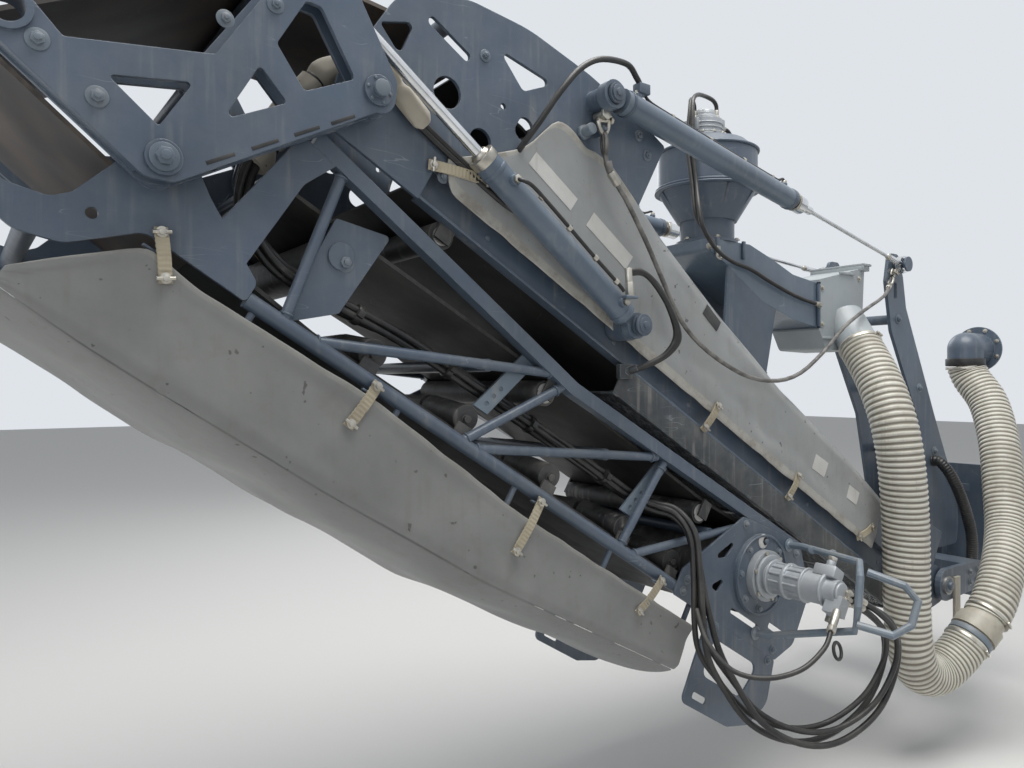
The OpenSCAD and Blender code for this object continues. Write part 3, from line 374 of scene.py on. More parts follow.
# %% [markdown]
# A wire rope is six strands laid round one another. Six twisted tubes would show that too, but one ring with six
# lobes that turn along it is a single closed tube with far fewer faces.
# %% Laid wire rope
def laid_rope(name, line, radius, strands=6, pitch=9.0):
    """A rope of twisted strands: the ring is lobed, and the lobes turn along it."""
    fine = resample(line, radius * 0.75)
    turn = 2 * math.pi / (pitch * radius)
    step = radius * 0.75
    return carry_ring(name, fine, radius, strands * 3,
                      lambda i, a: 0.91 + 0.09 * math.cos(strands * (a - turn * step * i)))


safety_rope = laid_rope("safety_rope_laid", rope_line, ROPE_R)
print("safety rope mesh:", len(safety_rope.data.polygons), "faces")

# %% [markdown]
# The setting is plain: a pale floor where the ground was, a pale surround that only the camera and the gloss
# see, a broad soft lamp overhead as on a cloudy day, and a weaker one from the side.
# %% Studio
GROUND_Z = -0.80
clear()
bpy.ops.mesh.primitive_plane_add(size=60, location=(0, 0, GROUND_Z))
floor = bpy.context.object
floor.name = "floor"
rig.stage(floor)


def put(tree, kind, settings=None, **inputs):
    """Add a shader node; an input is named, or numbered as i0, i1, and takes a value or a socket."""
    node = tree.nodes.new("ShaderNode" + kind)
    for key, value in (settings or {}).items():
        setattr(node, key, value)
    for key, value in inputs.items():
        socket = node.inputs[int(key[1:]) if key[0] == "i" and key[1:].isdigit() else key.replace("_", " ")]
        if isinstance(value, bpy.types.NodeSocket):
            tree.links.new(value, socket)
        else:
            socket.default_value = value
    return node


def math_node(tree, what, a, b=0.5, clamp=False):
    return put(tree, "Math", {"operation": what, "use_clamp": clamp}, i0=a, i1=b).outputs[0]


def mix_colour(tree, share, a, b, kind="MIX"):
    settings = {"data_type": "RGBA", "blend_type": kind, "clamp_factor": True}
    return put(tree, "Mix", settings, i0=share, i6=a, i7=b).outputs[2]


def band(tree, value, low, high):
    """0 below low, 1 above high, smooth between."""
    return put(tree, "MapRange", {"interpolation_type": "SMOOTHSTEP"}, i0=value, i1=low, i2=high).outputs[0]


def rgb(r, g, b):
    return (r, g, b, 1)


def new_material(name):
    material = bpy.data.materials.new(name)
    material.use_nodes = True
    tree = material.node_tree
    return material, tree, tree.nodes["Principled BSDF"]


floor_paint, tree, shader = new_material("pale_floor")
shader.inputs["Roughness"].default_value = 0.9
shader.inputs["Base Color"].default_value = rgb(0.72, 0.71, 0.69)
floor.data.materials.append(floor_paint)

world = bpy.data.worlds.new("cloudy_day")
bpy.context.scene.world = world
world.use_nodes = True
tree = world.node_tree
rays = put(tree, "LightPath")
seen = math_node(tree, "MAXIMUM", rays.outputs["Is Camera Ray"], rays.outputs["Is Glossy Ray"])
seen = math_node(tree, "MAXIMUM", seen, rays.outputs["Is Transmission Ray"])
surround = tree.nodes["Background"]
surround.inputs["Color"].default_value = rgb(0.86, 0.90, 0.95)
tree.links.new(put(tree, "MapRange", i0=seen, i3=0.40, i4=0.86).outputs[0], surround.inputs["Strength"])


def soft_lamp(name, place, aim, size, power, colour):
    clear()
    bpy.ops.object.light_add(type="AREA", location=place)
    lamp = bpy.context.object
    lamp.name = name
    lamp.data.shape = "DISK"
    lamp.data.size = size
    lamp.data.energy = power
    lamp.data.color = colour
    lamp.rotation_euler = (Vector(aim) - Vector(place)).to_track_quat("-Z", "Y").to_euler()


MIDDLE = (-2.4, 0, 0.8)
soft_lamp("sky_lamp", (-2.6, -1.3, 6.4), MIDDLE, 5.0, 430, (1.0, 0.99, 0.97))
soft_lamp("side_lamp", (-8.0, -3.0, 2.4), MIDDLE, 3.5, 45, (0.93, 0.96, 1.0))
soft_lamp("far_lamp", (1.2, 5.5, 4.2), MIDDLE, 4.0, 110, (0.96, 0.98, 1.0))
view = bpy.context.scene.view_settings
view.view_transform = "Standard"
print("studio:", len([o for o in bpy.data.objects if o.type == "LIGHT"]), "lamps over a floor at", GROUND_Z)

# %% [markdown]
# Work outdoors leaves the same traces on every part: edges rub bright, dust settles on what faces up, rain
# draws streaks, and paint has a faint orange peel. Each trace but the orange peel is one node group that any finish
# can take.
# %% Shared surface traces
def new_group(name, inputs, outputs):
    group = bpy.data.node_groups.new(name, "ShaderNodeTree")
    for label, value in inputs:
        socket = group.interface.new_socket(label, in_out="INPUT", socket_type="NodeSocketFloat")
        socket.default_value = value
    for label, kind in outputs:
        group.interface.new_socket(label, in_out="OUTPUT", socket_type="NodeSocket" + kind)
    start = group.nodes.new("NodeGroupInput")
    end = group.nodes.new("NodeGroupOutput")
    return group, start.outputs, end.inputs


def grain(tree, scale, detail=4.0, rough=0.6, vector=None):
    """A noise on the object's own coordinates."""
    place = vector or put(tree, "TexCoord").outputs["Object"]
    return put(tree, "TexNoise", Vector=place, Scale=scale, Detail=detail, Roughness=rough).outputs["Fac"]


def uneven(tree, scale, low, high):
    """A value that wanders between low and high over the surface."""
    return put(tree, "MapRange", i0=grain(tree, scale), i3=low, i4=high).outputs[0]


def stretched(tree, scale):
    return put(tree, "Mapping", Vector=put(tree, "TexCoord").outputs["Object"], Scale=scale).outputs[0]


edge_wear, given, out = new_group("edge_wear", [("Radius", 0.004), ("Amount", 0.5)],
                                  [("Mask", "Float"), ("Normal", "Vector")])
rounded = put(edge_wear, "Bevel", {"samples": 4}, Radius=given["Radius"]).outputs[0]
flat = put(edge_wear, "NewGeometry").outputs["Normal"]
turn = put(edge_wear, "VectorMath", {"operation": "DOT_PRODUCT"}, i0=rounded, i1=flat).outputs["Value"]
bare = band(edge_wear, turn, 0.985, 0.86)
broken = band(edge_wear, grain(edge_wear, 26.0), math_node(edge_wear, "SUBTRACT", 0.78, given["Amount"]), 0.72)
edge_wear.links.new(math_node(edge_wear, "MULTIPLY", bare, broken, True), out["Mask"])
edge_wear.links.new(rounded, out["Normal"])

dust_film, given, out = new_group("dust_film", [("Amount", 0.5)], [("Mask", "Float")])
upward = put(dust_film, "SeparateXYZ", Vector=put(dust_film, "NewGeometry").outputs["Normal"]).outputs["Z"]
facing = put(dust_film, "MapRange", i0=upward, i1=-0.4, i2=0.9, i3=0.16, i4=1.0).outputs[0]
patches = band(dust_film, grain(dust_film, 5.0, 6.0, 0.68), 0.34, 0.72)
dust_film.links.new(math_node(dust_film, "MULTIPLY", math_node(dust_film, "MULTIPLY", patches, facing),
                              given["Amount"], True), out["Mask"])

rain_streaks, given, out = new_group("rain_streaks", [("Amount", 0.5)], [("Mask", "Float")])
runs = grain(rain_streaks, 1.0, 3.0, 0.6, stretched(rain_streaks, (38, 38, 2.2)))
spots = grain(rain_streaks, 9.0, 3.0)
marks = math_node(rain_streaks, "MULTIPLY", band(rain_streaks, runs, 0.50, 0.72),
                  band(rain_streaks, spots, 0.35, 0.65))
rain_streaks.links.new(math_node(rain_streaks, "MULTIPLY", marks, given["Amount"], True), out["Mask"])

scratches, given, out = new_group("scratches", [("Amount", 0.5)], [("Mask", "Float")])
wander = grain(scratches, 1.0, 2.0, 0.5, stretched(scratches, (3.0, 5.0, 22.0)))
thin = band(scratches, math_node(scratches, "ABSOLUTE", math_node(scratches, "SUBTRACT", wander, 0.5)), 0.006, 0.001)
kept = band(scratches, grain(scratches, 6.0, 2.0), 0.55, 0.66)
scratches.links.new(math_node(scratches, "MULTIPLY", math_node(scratches, "MULTIPLY", thin, kept),
                              given["Amount"], True), out["Mask"])

canvas_weave, given, out = new_group("canvas_weave", [("Threads", 700.0)], [("Height", "Float")])
cloth = put(canvas_weave, "UVMap").outputs[0]
warp = put(canvas_weave, "TexWave", {"bands_direction": "X"}, Vector=cloth, Scale=given["Threads"]).outputs["Fac"]
weft = put(canvas_weave, "TexWave", {"bands_direction": "Y"}, Vector=cloth, Scale=given["Threads"]).outputs["Fac"]
canvas_weave.links.new(math_node(canvas_weave, "MAXIMUM", warp, weft), out["Height"])


def use(tree, group, **values):
    node = tree.nodes.new("ShaderNodeGroup")
    node.node_tree = group
    for key, value in values.items():
        node.inputs[key].default_value = value
    return node.outputs


print("surface traces:", [g.name for g in bpy.data.node_groups])

# %% [markdown]
# Painted steel is the finish that shows most. The paint varies a little in depth, its edges show grey primer,
# scratches are paler, and dust dulls the gloss. The same recipe serves every paint with its own values.
# %% Painted steel
DUST = rgb(0.36, 0.345, 0.31)


def painted_steel(name, light, deep, rough=0.34, wear=0.42, dust=0.55, edge=rgb(0.30, 0.33, 0.36), streaks=0.35,
                  radius=0.003, metallic=0.0):
    material, tree, shader = new_material(name)
    colour = mix_colour(tree, band(tree, grain(tree, 3.2, 5.0), 0.3, 0.7), deep, light)
    worn = use(tree, edge_wear, Radius=radius, Amount=wear)
    lines = use(tree, scratches, Amount=0.36)["Mask"]
    film = use(tree, dust_film, Amount=dust)["Mask"]
    rain = use(tree, rain_streaks, Amount=streaks)["Mask"]
    colour = mix_colour(tree, rain, colour, DUST)
    colour = mix_colour(tree, math_node(tree, "MAXIMUM", worn["Mask"], lines), colour, edge)
    colour = mix_colour(tree, film, colour, DUST)
    tree.links.new(colour, shader.inputs["Base Color"])
    dull = math_node(tree, "ADD", math_node(tree, "MULTIPLY", film, 0.4),
                     uneven(tree, 14.0, rough - 0.06, rough + 0.1), True)
    tree.links.new(dull, shader.inputs["Roughness"])
    shader.inputs["Metallic"].default_value = metallic
    shader.inputs["Coat Weight"].default_value = 0.12
    shader.inputs["Coat Roughness"].default_value = 0.25
    peel = put(tree, "Bump", Strength=0.12, Distance=0.0006, Height=grain(tree, 240.0, 2.0), Normal=worn["Normal"])
    tree.links.new(peel.outputs[0], shader.inputs["Normal"])
    return material


finishes = {
    "frame_paint": painted_steel("frame_paint", rgb(0.084, 0.115, 0.162), rgb(0.064, 0.088, 0.122), 0.34, 0.34, 0.28,
                                 rgb(0.30, 0.33, 0.36), 0.22),
    # painted light: a lighter copy of frame_paint for the lit barrels and duct
    "barrel_paint": painted_steel("barrel_paint", rgb(0.125, 0.168, 0.222), rgb(0.10, 0.134, 0.178), 0.3, 0.3, 0.25,
                                  rgb(0.34, 0.37, 0.40), 0.2),
    "bolt_paint": painted_steel("bolt_paint", rgb(0.135, 0.172, 0.215), rgb(0.09, 0.118, 0.15), 0.3, 0.5, 0.45,
                                rgb(0.34, 0.34, 0.33), 0.3, 0.0012),
    "guard_paint": painted_steel("guard_paint", rgb(0.175, 0.225, 0.275), rgb(0.13, 0.17, 0.215), 0.3, 0.5),
    "mesh_paint": painted_steel("mesh_paint", rgb(0.040, 0.048, 0.056), rgb(0.026, 0.031, 0.037), 0.5, 0.4, 0.5),
    "box_paint": painted_steel("box_paint", rgb(0.38, 0.42, 0.44), rgb(0.30, 0.335, 0.355), 0.4, 0.4, 0.4),
    "motor_alloy": painted_steel("motor_alloy", rgb(0.50, 0.53, 0.56), rgb(0.34, 0.365, 0.39), 0.4, 0.5, 0.35,
                                 rgb(0.55, 0.55, 0.54), 0.5, 0.004, 0.35),
    "roller_steel": painted_steel("roller_steel", rgb(0.052, 0.052, 0.055), rgb(0.028, 0.028, 0.03), 0.5, 0.55,
                                  0.65, rgb(0.26, 0.22, 0.18), 0.6),
}
print("paints:", sorted(finishes))

# %% [markdown]
# Bare metal needs its own recipes. Chrome is smooth with a wiped oil film, turned pins and zinc fittings are
# rougher with brown freckles, and wire rope is dark with grease between its strands.
# %% Bare metal
def bare_metal(name, light, dark, rough, freckle, metallic=1.0, fine=160.0):
    material, tree, shader = new_material(name)
    colour = mix_colour(tree, band(tree, grain(tree, 18.0, 6.0), 0.35, 0.7), light, dark)
    rust = math_node(tree, "MULTIPLY", band(tree, grain(tree, 30.0, 6.0, 0.75), 0.56, 0.7), freckle, True)
    colour = mix_colour(tree, rust, colour, rgb(0.16, 0.085, 0.045))
    film = use(tree, dust_film, Amount=0.3)["Mask"]
    tree.links.new(mix_colour(tree, film, colour, DUST), shader.inputs["Base Color"])
    tree.links.new(math_node(tree, "SUBTRACT", metallic, math_node(tree, "MAXIMUM", rust, film), True),
                   shader.inputs["Metallic"])
    tree.links.new(uneven(tree, 9.0, rough, rough + 0.18),
                   shader.inputs["Roughness"])
    turned = put(tree, "Bump", Strength=0.15, Distance=0.0005, Height=grain(tree, fine, 3.0))
    tree.links.new(turned.outputs[0], shader.inputs["Normal"])
    return material


finishes["rod_chrome"] = bare_metal("rod_chrome", rgb(0.80, 0.81, 0.82), rgb(0.66, 0.67, 0.68), 0.08, 0.05)
finishes["pin_steel"] = bare_metal("pin_steel", rgb(0.52, 0.51, 0.49), rgb(0.30, 0.29, 0.28), 0.32, 0.7)
finishes["rope_steel"] = bare_metal("rope_steel", rgb(0.26, 0.25, 0.235), rgb(0.10, 0.095, 0.09), 0.42, 0.6, 0.7)
finishes["zinc"] = bare_metal("zinc", rgb(0.60, 0.57, 0.50), rgb(0.38, 0.36, 0.32), 0.3, 0.5)
print("metals:", ("rod_chrome", "pin_steel", "rope_steel", "zinc"))

# %% [markdown]
# Rubber and coated cloth scatter light instead of mirroring it. The belts are grey with stone dust, the hoses
# are blacker, and the covers are coated canvas with a fine weave, stains and paler rubbed places.
# %% Rubber and cloth
def rubber(name, light, dark, rough, dust=0.4, scale=12.0):
    material, tree, shader = new_material(name)
    colour = mix_colour(tree, band(tree, grain(tree, scale, 6.0), 0.35, 0.7), dark, light)
    film = use(tree, dust_film, Amount=dust)["Mask"]
    scuffs = use(tree, scratches, Amount=0.5)["Mask"]
    colour = mix_colour(tree, scuffs, colour, rgb(0.11, 0.105, 0.10))
    dash = band(tree, put(tree, "Attribute", {"attribute_name": "dash"}).outputs["Fac"], 0.35, 0.6)
    colour = mix_colour(tree, dash, colour, rgb(0.45, 0.33, 0.05))
    tree.links.new(mix_colour(tree, film, colour, rgb(0.30, 0.28, 0.245)), shader.inputs["Base Color"])
    tree.links.new(uneven(tree, 20.0, rough - 0.08, rough + 0.14),
                   shader.inputs["Roughness"])
    pitted = put(tree, "Bump", Strength=0.25, Distance=0.0008, Height=grain(tree, 190.0, 4.0))
    tree.links.new(pitted.outputs[0], shader.inputs["Normal"])
    return material


def cloth(name, light, dark, stain, rough=0.5, threads=700.0, sheen=0.15, spots=0.8):
    material, tree, shader = new_material(name)
    colour = mix_colour(tree, band(tree, grain(tree, 2.6, 6.0), 0.32, 0.68), dark, light)
    cloudy = band(tree, grain(tree, 9.0, 6.0, 0.7), 0.5, 0.8)
    colour = mix_colour(tree, math_node(tree, "MULTIPLY", cloudy, 0.4), colour, stain)
    flecks = band(tree, grain(tree, 42.0, 2.0, 0.5), 0.70, 0.74)
    colour = mix_colour(tree, math_node(tree, "MULTIPLY", flecks, spots), colour, rgb(0.05, 0.048, 0.045))
    rain = use(tree, rain_streaks, Amount=0.3)["Mask"]
    colour = mix_colour(tree, rain, colour, stain)
    hem = band(tree, put(tree, "Attribute", {"attribute_name": "hem"}).outputs["Fac"], 0.3, 0.7)
    soiled = mix_colour(tree, band(tree, grain(tree, 13.0, 6.0, 0.7), 0.42, 0.66), rgb(0.44, 0.42, 0.37),
                        rgb(0.27, 0.235, 0.18))
    colour = mix_colour(tree, math_node(tree, "MULTIPLY", hem, 0.7), colour, soiled)
    film = use(tree, dust_film, Amount=0.28)["Mask"]
    tree.links.new(mix_colour(tree, film, colour, DUST), shader.inputs["Base Color"])
    tree.links.new(uneven(tree, 7.0, rough - 0.1, rough + 0.12),
                   shader.inputs["Roughness"])
    shader.inputs["Sheen Weight"].default_value = sheen
    shader.inputs["Sheen Roughness"].default_value = 0.5
    dents = put(tree, "Bump", Strength=0.35, Distance=0.004, Height=grain(tree, 11.0, 3.0, 0.5))
    woven = put(tree, "Bump", Strength=0.3, Distance=0.0004, Normal=dents.outputs[0],
                Height=use(tree, canvas_weave, Threads=threads)["Height"])
    tree.links.new(woven.outputs[0], shader.inputs["Normal"])
    return material


finishes["belt_worn"] = rubber("belt_worn", rgb(0.090, 0.062, 0.045), rgb(0.032, 0.029, 0.027), 0.5, 0.6, 5.0)
finishes["belt_rubber"] = rubber("belt_rubber", rgb(0.030, 0.029, 0.028), rgb(0.016, 0.016, 0.016), 0.55, 0.45)
finishes["hose_black"] = rubber("hose_black", rgb(0.020, 0.020, 0.021), rgb(0.009, 0.009, 0.010), 0.36, 0.3, 30.0)
finishes["cover_fabric"] = cloth("cover_fabric", rgb(0.218, 0.222, 0.215), rgb(0.176, 0.181, 0.176),
                                 rgb(0.15, 0.142, 0.122), 0.46, 260.0)
# painted light: a lighter copy of the cover cloth, for the upper cover that the sky lights from above
finishes["cover_topside"] = cloth("cover_topside", rgb(0.325, 0.335, 0.335), rgb(0.27, 0.28, 0.28),
                                  rgb(0.20, 0.19, 0.165), 0.46, 260.0)
finishes["strap_rubber"] = cloth("strap_rubber", rgb(0.50, 0.44, 0.32), rgb(0.36, 0.31, 0.22),
                                 rgb(0.16, 0.12, 0.08), 0.6, 300.0, 0.05, 0.5)
finishes["sleeve_fabric"] = cloth("sleeve_fabric", rgb(0.50, 0.455, 0.37), rgb(0.37, 0.335, 0.27),
                                  rgb(0.17, 0.14, 0.10), 0.75, 260.0, 0.4)
finishes["label_blank"] = cloth("label_blank", rgb(0.66, 0.65, 0.62), rgb(0.52, 0.51, 0.48),
                                rgb(0.30, 0.28, 0.24), 0.5)
print("rubber and cloth:", sorted(n for n in finishes if n.startswith(("belt", "cover", "hose", "sleeve", "strap"))))


# %% [markdown]
# The suction hoses are milky plastic, slightly see-through, with a pale stiff helix and darker valleys between its
# turns. A spiral pattern could drift off the ribs, so the mesh carries an attribute that says where the helix is, and
# the finish reads it.
# %% Suction hose plastic
def hose_plastic(name, rib, valley, ribbed):
    """Milky soft plastic; a ridge attribute on the mesh says where the stiff helix is."""
    material, tree, shader = new_material(name)
    colour = mix_colour(tree, band(tree, grain(tree, 6.0, 5.0), 0.3, 0.7), rib, valley)
    if ribbed:
        # darker in the valleys between the ribs, paler on the helix
        ridge = band(tree, put(tree, "Attribute", {"attribute_name": "ridge"}).outputs["Fac"], 0.12, 0.75)
        rib_share = math_node(tree, "MULTIPLY", ridge, uneven(tree, 5.0, 0.72, 1.0))
        colour = mix_colour(tree, rib_share, valley, rib)
    stain = band(tree, grain(tree, 3.4, 6.0, 0.7), 0.48, 0.72)
    colour = mix_colour(tree, math_node(tree, "MULTIPLY", stain, 0.45), colour, rgb(0.25, 0.22, 0.17))
    rain = use(tree, rain_streaks, Amount=0.4)["Mask"]
    tree.links.new(mix_colour(tree, rain, colour, rgb(0.20, 0.175, 0.135)), shader.inputs["Base Color"])
    tree.links.new(uneven(tree, 15.0, 0.3, 0.52), shader.inputs["Roughness"])
    shader.inputs["Subsurface Weight"].default_value = 0.06
    skin = put(tree, "Bump", Strength=0.2, Distance=0.0006, Height=grain(tree, 120.0, 3.0))
    tree.links.new(skin.outputs[0], shader.inputs["Normal"])
    return material


finishes["hose_cream"] = hose_plastic("hose_cream", rgb(0.56, 0.53, 0.45), rgb(0.40, 0.37, 0.30), False)
finishes["hose_ribs"] = hose_plastic("hose_ribs", rgb(0.72, 0.70, 0.62), rgb(0.215, 0.195, 0.155), True)
print("soft finishes:", sorted(set(finishes) - {"frame_paint", "zinc"})[:6], "and more")

# %% [markdown]
# Every node of the frame takes the finish of its slot. The cylinders' barrels and the fan's duct take a lighter copy
# of the frame paint, which is painted light for the sky on their rounded upper faces, and keep their slot.
# %% Dress the steel
slot_of = {part["node"]: part["material_slot"] for part in frame["record"]["subparts"]}
for name, obj in nodes.items():
    obj.data.materials.clear()
    # barrels and the duct take the lighter copy of frame paint, which is painted light
    paint = "barrel_paint" if "barrel" in name or name == "fan_duct" else slot_of[name]
    obj.data.materials.append(finishes[paint])
print("dressed", len(nodes), "nodes")


def own(obj, body, finish, slot=None):
    """Give a finished piece its finish and the body it rides on."""
    obj.data.materials.clear()
    obj.data.materials.append(finishes[finish])
    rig.slot(obj, slot or finish)
    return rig.ride(obj, body)


def bridge(obj, bodies, start, end, finish, slot=None):
    """Give a finished piece its finish and bend it between two bodies."""
    obj.data.materials.clear()
    obj.data.materials.append(finishes[finish])
    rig.slot(obj, slot or finish)
    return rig.blend(obj, *bodies, start=start, end=end)


# %% [markdown]
# The canvas covers are stretched over steel hoops and strapped to the side frames. Each is a grid of cloth whose
# points are put on the frame's outline, then pulled in a little between hoops and puckered where a strap pulls.
# Its two faces come from Solidify, so it stays one sheet of cloth.
# %% Cloth helpers
CLOTH_T = 4.0


def ease(t):
    t = min(max(t, 0.0), 1.0)
    return t * t * (3 - 2 * t)


def lookup(x, rows):
    """The value at x in rows of (x, value), with straight lines between."""
    rows = sorted(rows)
    if x <= rows[0][0]:
        return rows[0][1]
    for (x0, v0), (x1, v1) in zip(rows, rows[1:]):
        if x <= x1:
            return v0 + (v1 - v0) * (x - x0) / (x1 - x0)
    return rows[-1][1]


def along_rows(points, t):
    """A point at t (0 to 1) along a row of points, by length, with round corners."""
    line = smooth_line([(a, b, 0) for a, b in points], 5)
    want = t * line_length(line)
    for a, b in zip(line, line[1:]):
        step = (b - a).length
        if want <= step:
            return a + (b - a) * (want / max(step, 1e-9))
        want -= step
    return line[-1]


def drape(name, columns, rows, shape, width, length, hem=None):
    """A grid of cloth: its point at u along and v across goes where shape(u, v) says, its UV in metres."""
    clear()
    bpy.ops.mesh.primitive_grid_add(x_subdivisions=columns, y_subdivisions=rows, size=1, calc_uvs=True)
    obj = bpy.context.object
    obj.name = name
    if hem:
        mark = obj.data.attributes.new("hem", "FLOAT", "POINT")
        for vert in obj.data.vertices:
            mark.data[vert.index].value = hem(vert.co.x + 0.5, vert.co.y + 0.5)
    for vert in obj.data.vertices:
        vert.co = shape(vert.co.x + 0.5, vert.co.y + 0.5)
    for loop in obj.data.uv_layers.active.data:
        loop.uv = (loop.uv[0] * length, loop.uv[1] * width)
    return obj


def sew(name, parts, place, thick=CLOTH_T, levels=1):
    """Join grids of cloth, merge their shared edge, give the cloth its two faces and smooth it."""
    obj = one_from(name, parts)
    bpy.ops.object.mode_set(mode="EDIT")
    bpy.ops.mesh.select_all(action="SELECT")
    bpy.ops.mesh.remove_doubles(threshold=0.5)
    bpy.ops.mesh.normals_make_consistent(inside=False)
    bpy.ops.object.mode_set(mode="OBJECT")
    area = sum(f.area for f in obj.data.polygons) * MM * MM
    thicken(obj, thick)
    if levels:
        smooth = obj.modifiers.new("smooth", "SUBSURF")
        smooth.levels = smooth.render_levels = levels
        bpy.ops.object.modifier_apply(modifier=smooth.name)
    settle(obj, place)
    soften(obj, 70)
    return obj, area


def flutter(x, y, z, size, seed=0.0):
    """A slow unevenness of the cloth, between -1 and 1."""
    return noise.noise(Vector((x / size + seed, y / size, z / size * 1.7))) * 2


print("cloth helpers ready")

# %% [markdown]
# The upper cover is one canvas over the hoops, with sides that reach down to the side frames and a roof between
# the cheeks. It has to follow the frame's outline closely, so four grids are shaped by rule and sewn together.
# %% Upper cover
COVER_W = 398.0
COVER_FOOT = -95
COVER_START = -640
SHOULDER_END = -2440
FLAP_EDGE = -2380
shoulder_rows = [(-2440, 300), (-1938, 221), (-1496, 172), (-958, 152), (-640, 120)]
crown_rows = [(-2440, 405), (-1938, 330), (-1496, 272), (-958, 236), (-640, 208)]
flap_top = [(-3076, -21), (-2994, 58), (-2881, 180), (-2873, 280), (-2845, 319), (-2787, 333), (-2709, 316),
            (-2690, 332), (-2600, 340), (-2440, 300)]
flap_foot = [(-3076, -22), (-3034, COVER_FOOT), (COVER_START, COVER_FOOT)]
hoops_upper = [-2400, -1640, -1370, -720]
straps_upper = [-1822, -1279, -700]
COVER_LONG = 2436.0


def hollow(x, hoops):
    """0 at a hoop, 1 midway between two."""
    below = max([h for h in hoops if h <= x], default=None)
    above = min([h for h in hoops if h > x], default=None)
    if below is None or above is None:
        return 0.0
    return math.sin(math.pi * (x - below) / (above - below)) ** 2


def pull(x, z, straps, foot, reach=150):
    """How strongly a strap at the foot puckers the cloth at x, z."""
    return sum(math.exp(-((x - s) / (16 + 0.24 * abs(z - foot))) ** 2) for s in straps) * \
        max(0.0, 1 - abs(z - foot) / reach)


def side_edges(x):
    """The foot and the top of the upper cover's side cloth at x."""
    return lookup(x, flap_foot), lookup(x, shoulder_rows if x > SHOULDER_END else flap_top)


def over_hoop(edge, shoulder, crown, v):
    """A point at v across the cloth that runs from one shoulder over the crown to the other."""
    h = crown - shoulder
    half = [(-edge, shoulder), (-0.86 * COVER_W, shoulder + 0.36 * h), (-0.66 * COVER_W, shoulder + 0.72 * h),
            (-0.36 * COVER_W, shoulder + 0.94 * h)]
    return along_rows(half + [(0, crown)] + [(-y, z) for y, z in reversed(half)], v)


def upper_side(side):
    def shape(u, v):
        x = COVER_START - COVER_LONG * u
        foot, top = side_edges(x)
        z = foot + (top - foot) * v
        crown = lookup(x, crown_rows) - top
        tuck = ease((z - (top - 0.3 * crown)) / (0.3 * crown)) * 12 if x > SHOULDER_END else 0
        tuck *= 1 - ease((-2300 - x) / 140)
        free = ease((z + 60) / 70) * (1 - ease((z - top + 40) / 60))
        out = free * (4.5 * flutter(x, side * 90, z, 260) - 7 * hollow(x, hoops_upper)) if x > FLAP_EDGE else 0
        out += 7 * pull(x, z, straps_upper, COVER_FOOT, 260) - 1.5 * ease((z + 40) / 60) * free
        out += 3.2 * abs(flutter(x + z * 0.9, 0, z * 0.5, 120, 5.0)) * ease((z - COVER_FOOT) / 60)
        if x < FLAP_EDGE:
            out = min(out, 4.5)
        ripple = 2.5 * flutter(x, 0, 0, 70, 3.0) * (1 - v)
        stand = COVER_W - tuck + max(out, -9 if x > FLAP_EDGE else 0) + (abs(ripple) if v < 0.1 else 0)
        return Vector((x, side * stand, z + (ripple * 0.8 if v < 0.05 else 0)))
    return shape


def upper_crown(u, v):
    x = COVER_START - 1800 * u
    shoulder, crown = lookup(x, shoulder_rows), lookup(x, crown_rows)
    p = over_hoop(COVER_W - 12 * (1 - ease((-2300 - x) / 140)), shoulder, crown, v)
    inside = math.sin(math.pi * v)
    z = p.y - 12 * hollow(x, hoops_upper) * inside ** 0.5 + 3.5 * flutter(x, p.x, 0, 180) * inside
    return Vector((x, p.x, z))


def between_cheeks(u, v):
    x = -2420 - 430 * u
    y = 372 * (2 * v - 1)
    flat = 322 + (x + 2850) * 0.2
    arch = lookup(-2430, crown_rows) - 92 * (abs(y) / 400) ** 2.2
    return Vector((x, y, arch + (flat - arch) * ease(u * 3) - 4 * math.sin(math.pi * v) * u))


def upper_hem(u, v):
    x = COVER_START - COVER_LONG * u
    foot, top = side_edges(x)
    low = 1 - ease(((top - foot) * v - 26) / 10)
    high = 1 - ease(((top - foot) * (1 - v) - 16) / 8) if x < -2470 else 0
    return max(low, high)


near = drape("near", 87, 26, upper_side(-1), 0.42, 2.436, upper_hem)
far = drape("far", 87, 26, upper_side(1), 0.42, 2.436, upper_hem)
crown = drape("crown", 64, 40, upper_crown, 0.9, 1.8)
roof = drape("roof", 14, 24, between_cheeks, 0.75, 0.43)
upper_cover, area = sew("upper_cover_canvas", [near, far, crown, roof], INNER)
print("upper cover:", round(area, 3), "square metres,", len(upper_cover.data.polygons), "faces")
# the upper cover takes the lighter copy of the cover cloth, painted light from above; its slot stays cover_fabric
own(upper_cover, "inner", "cover_topside", "cover_fabric")
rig.replaces(upper_cover, "inner_cover")
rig.sheet(upper_cover, (1.72, 2.45), "stretched", ["inner_hoops"], area=3.3)

# %% [markdown]
# The lower section's cover hangs under the folded frame like a trough. It sags between hoops, and straps pull its
# upper edge towards the truss.
# %% Lower cover
outer_rows = [(-104, 330, 366, 418), (71, 150, 385, 440), (204, 166, 392, 450), (687, 156, 408, 470),
              (1227, 200, 410, 478), (2075, 205, 360, 418)]
outer_foot, outer_shoulder, outer_crown = ([(r[0], r[k]) for r in outer_rows] for k in (1, 2, 3))
hoops_outer = [-104, 330, 760, 1190, 1620, 2050]
straps_outer = [85, 660, 1270, 1840]
OUTER_START = -104
OUTER_LONG = 2179.0


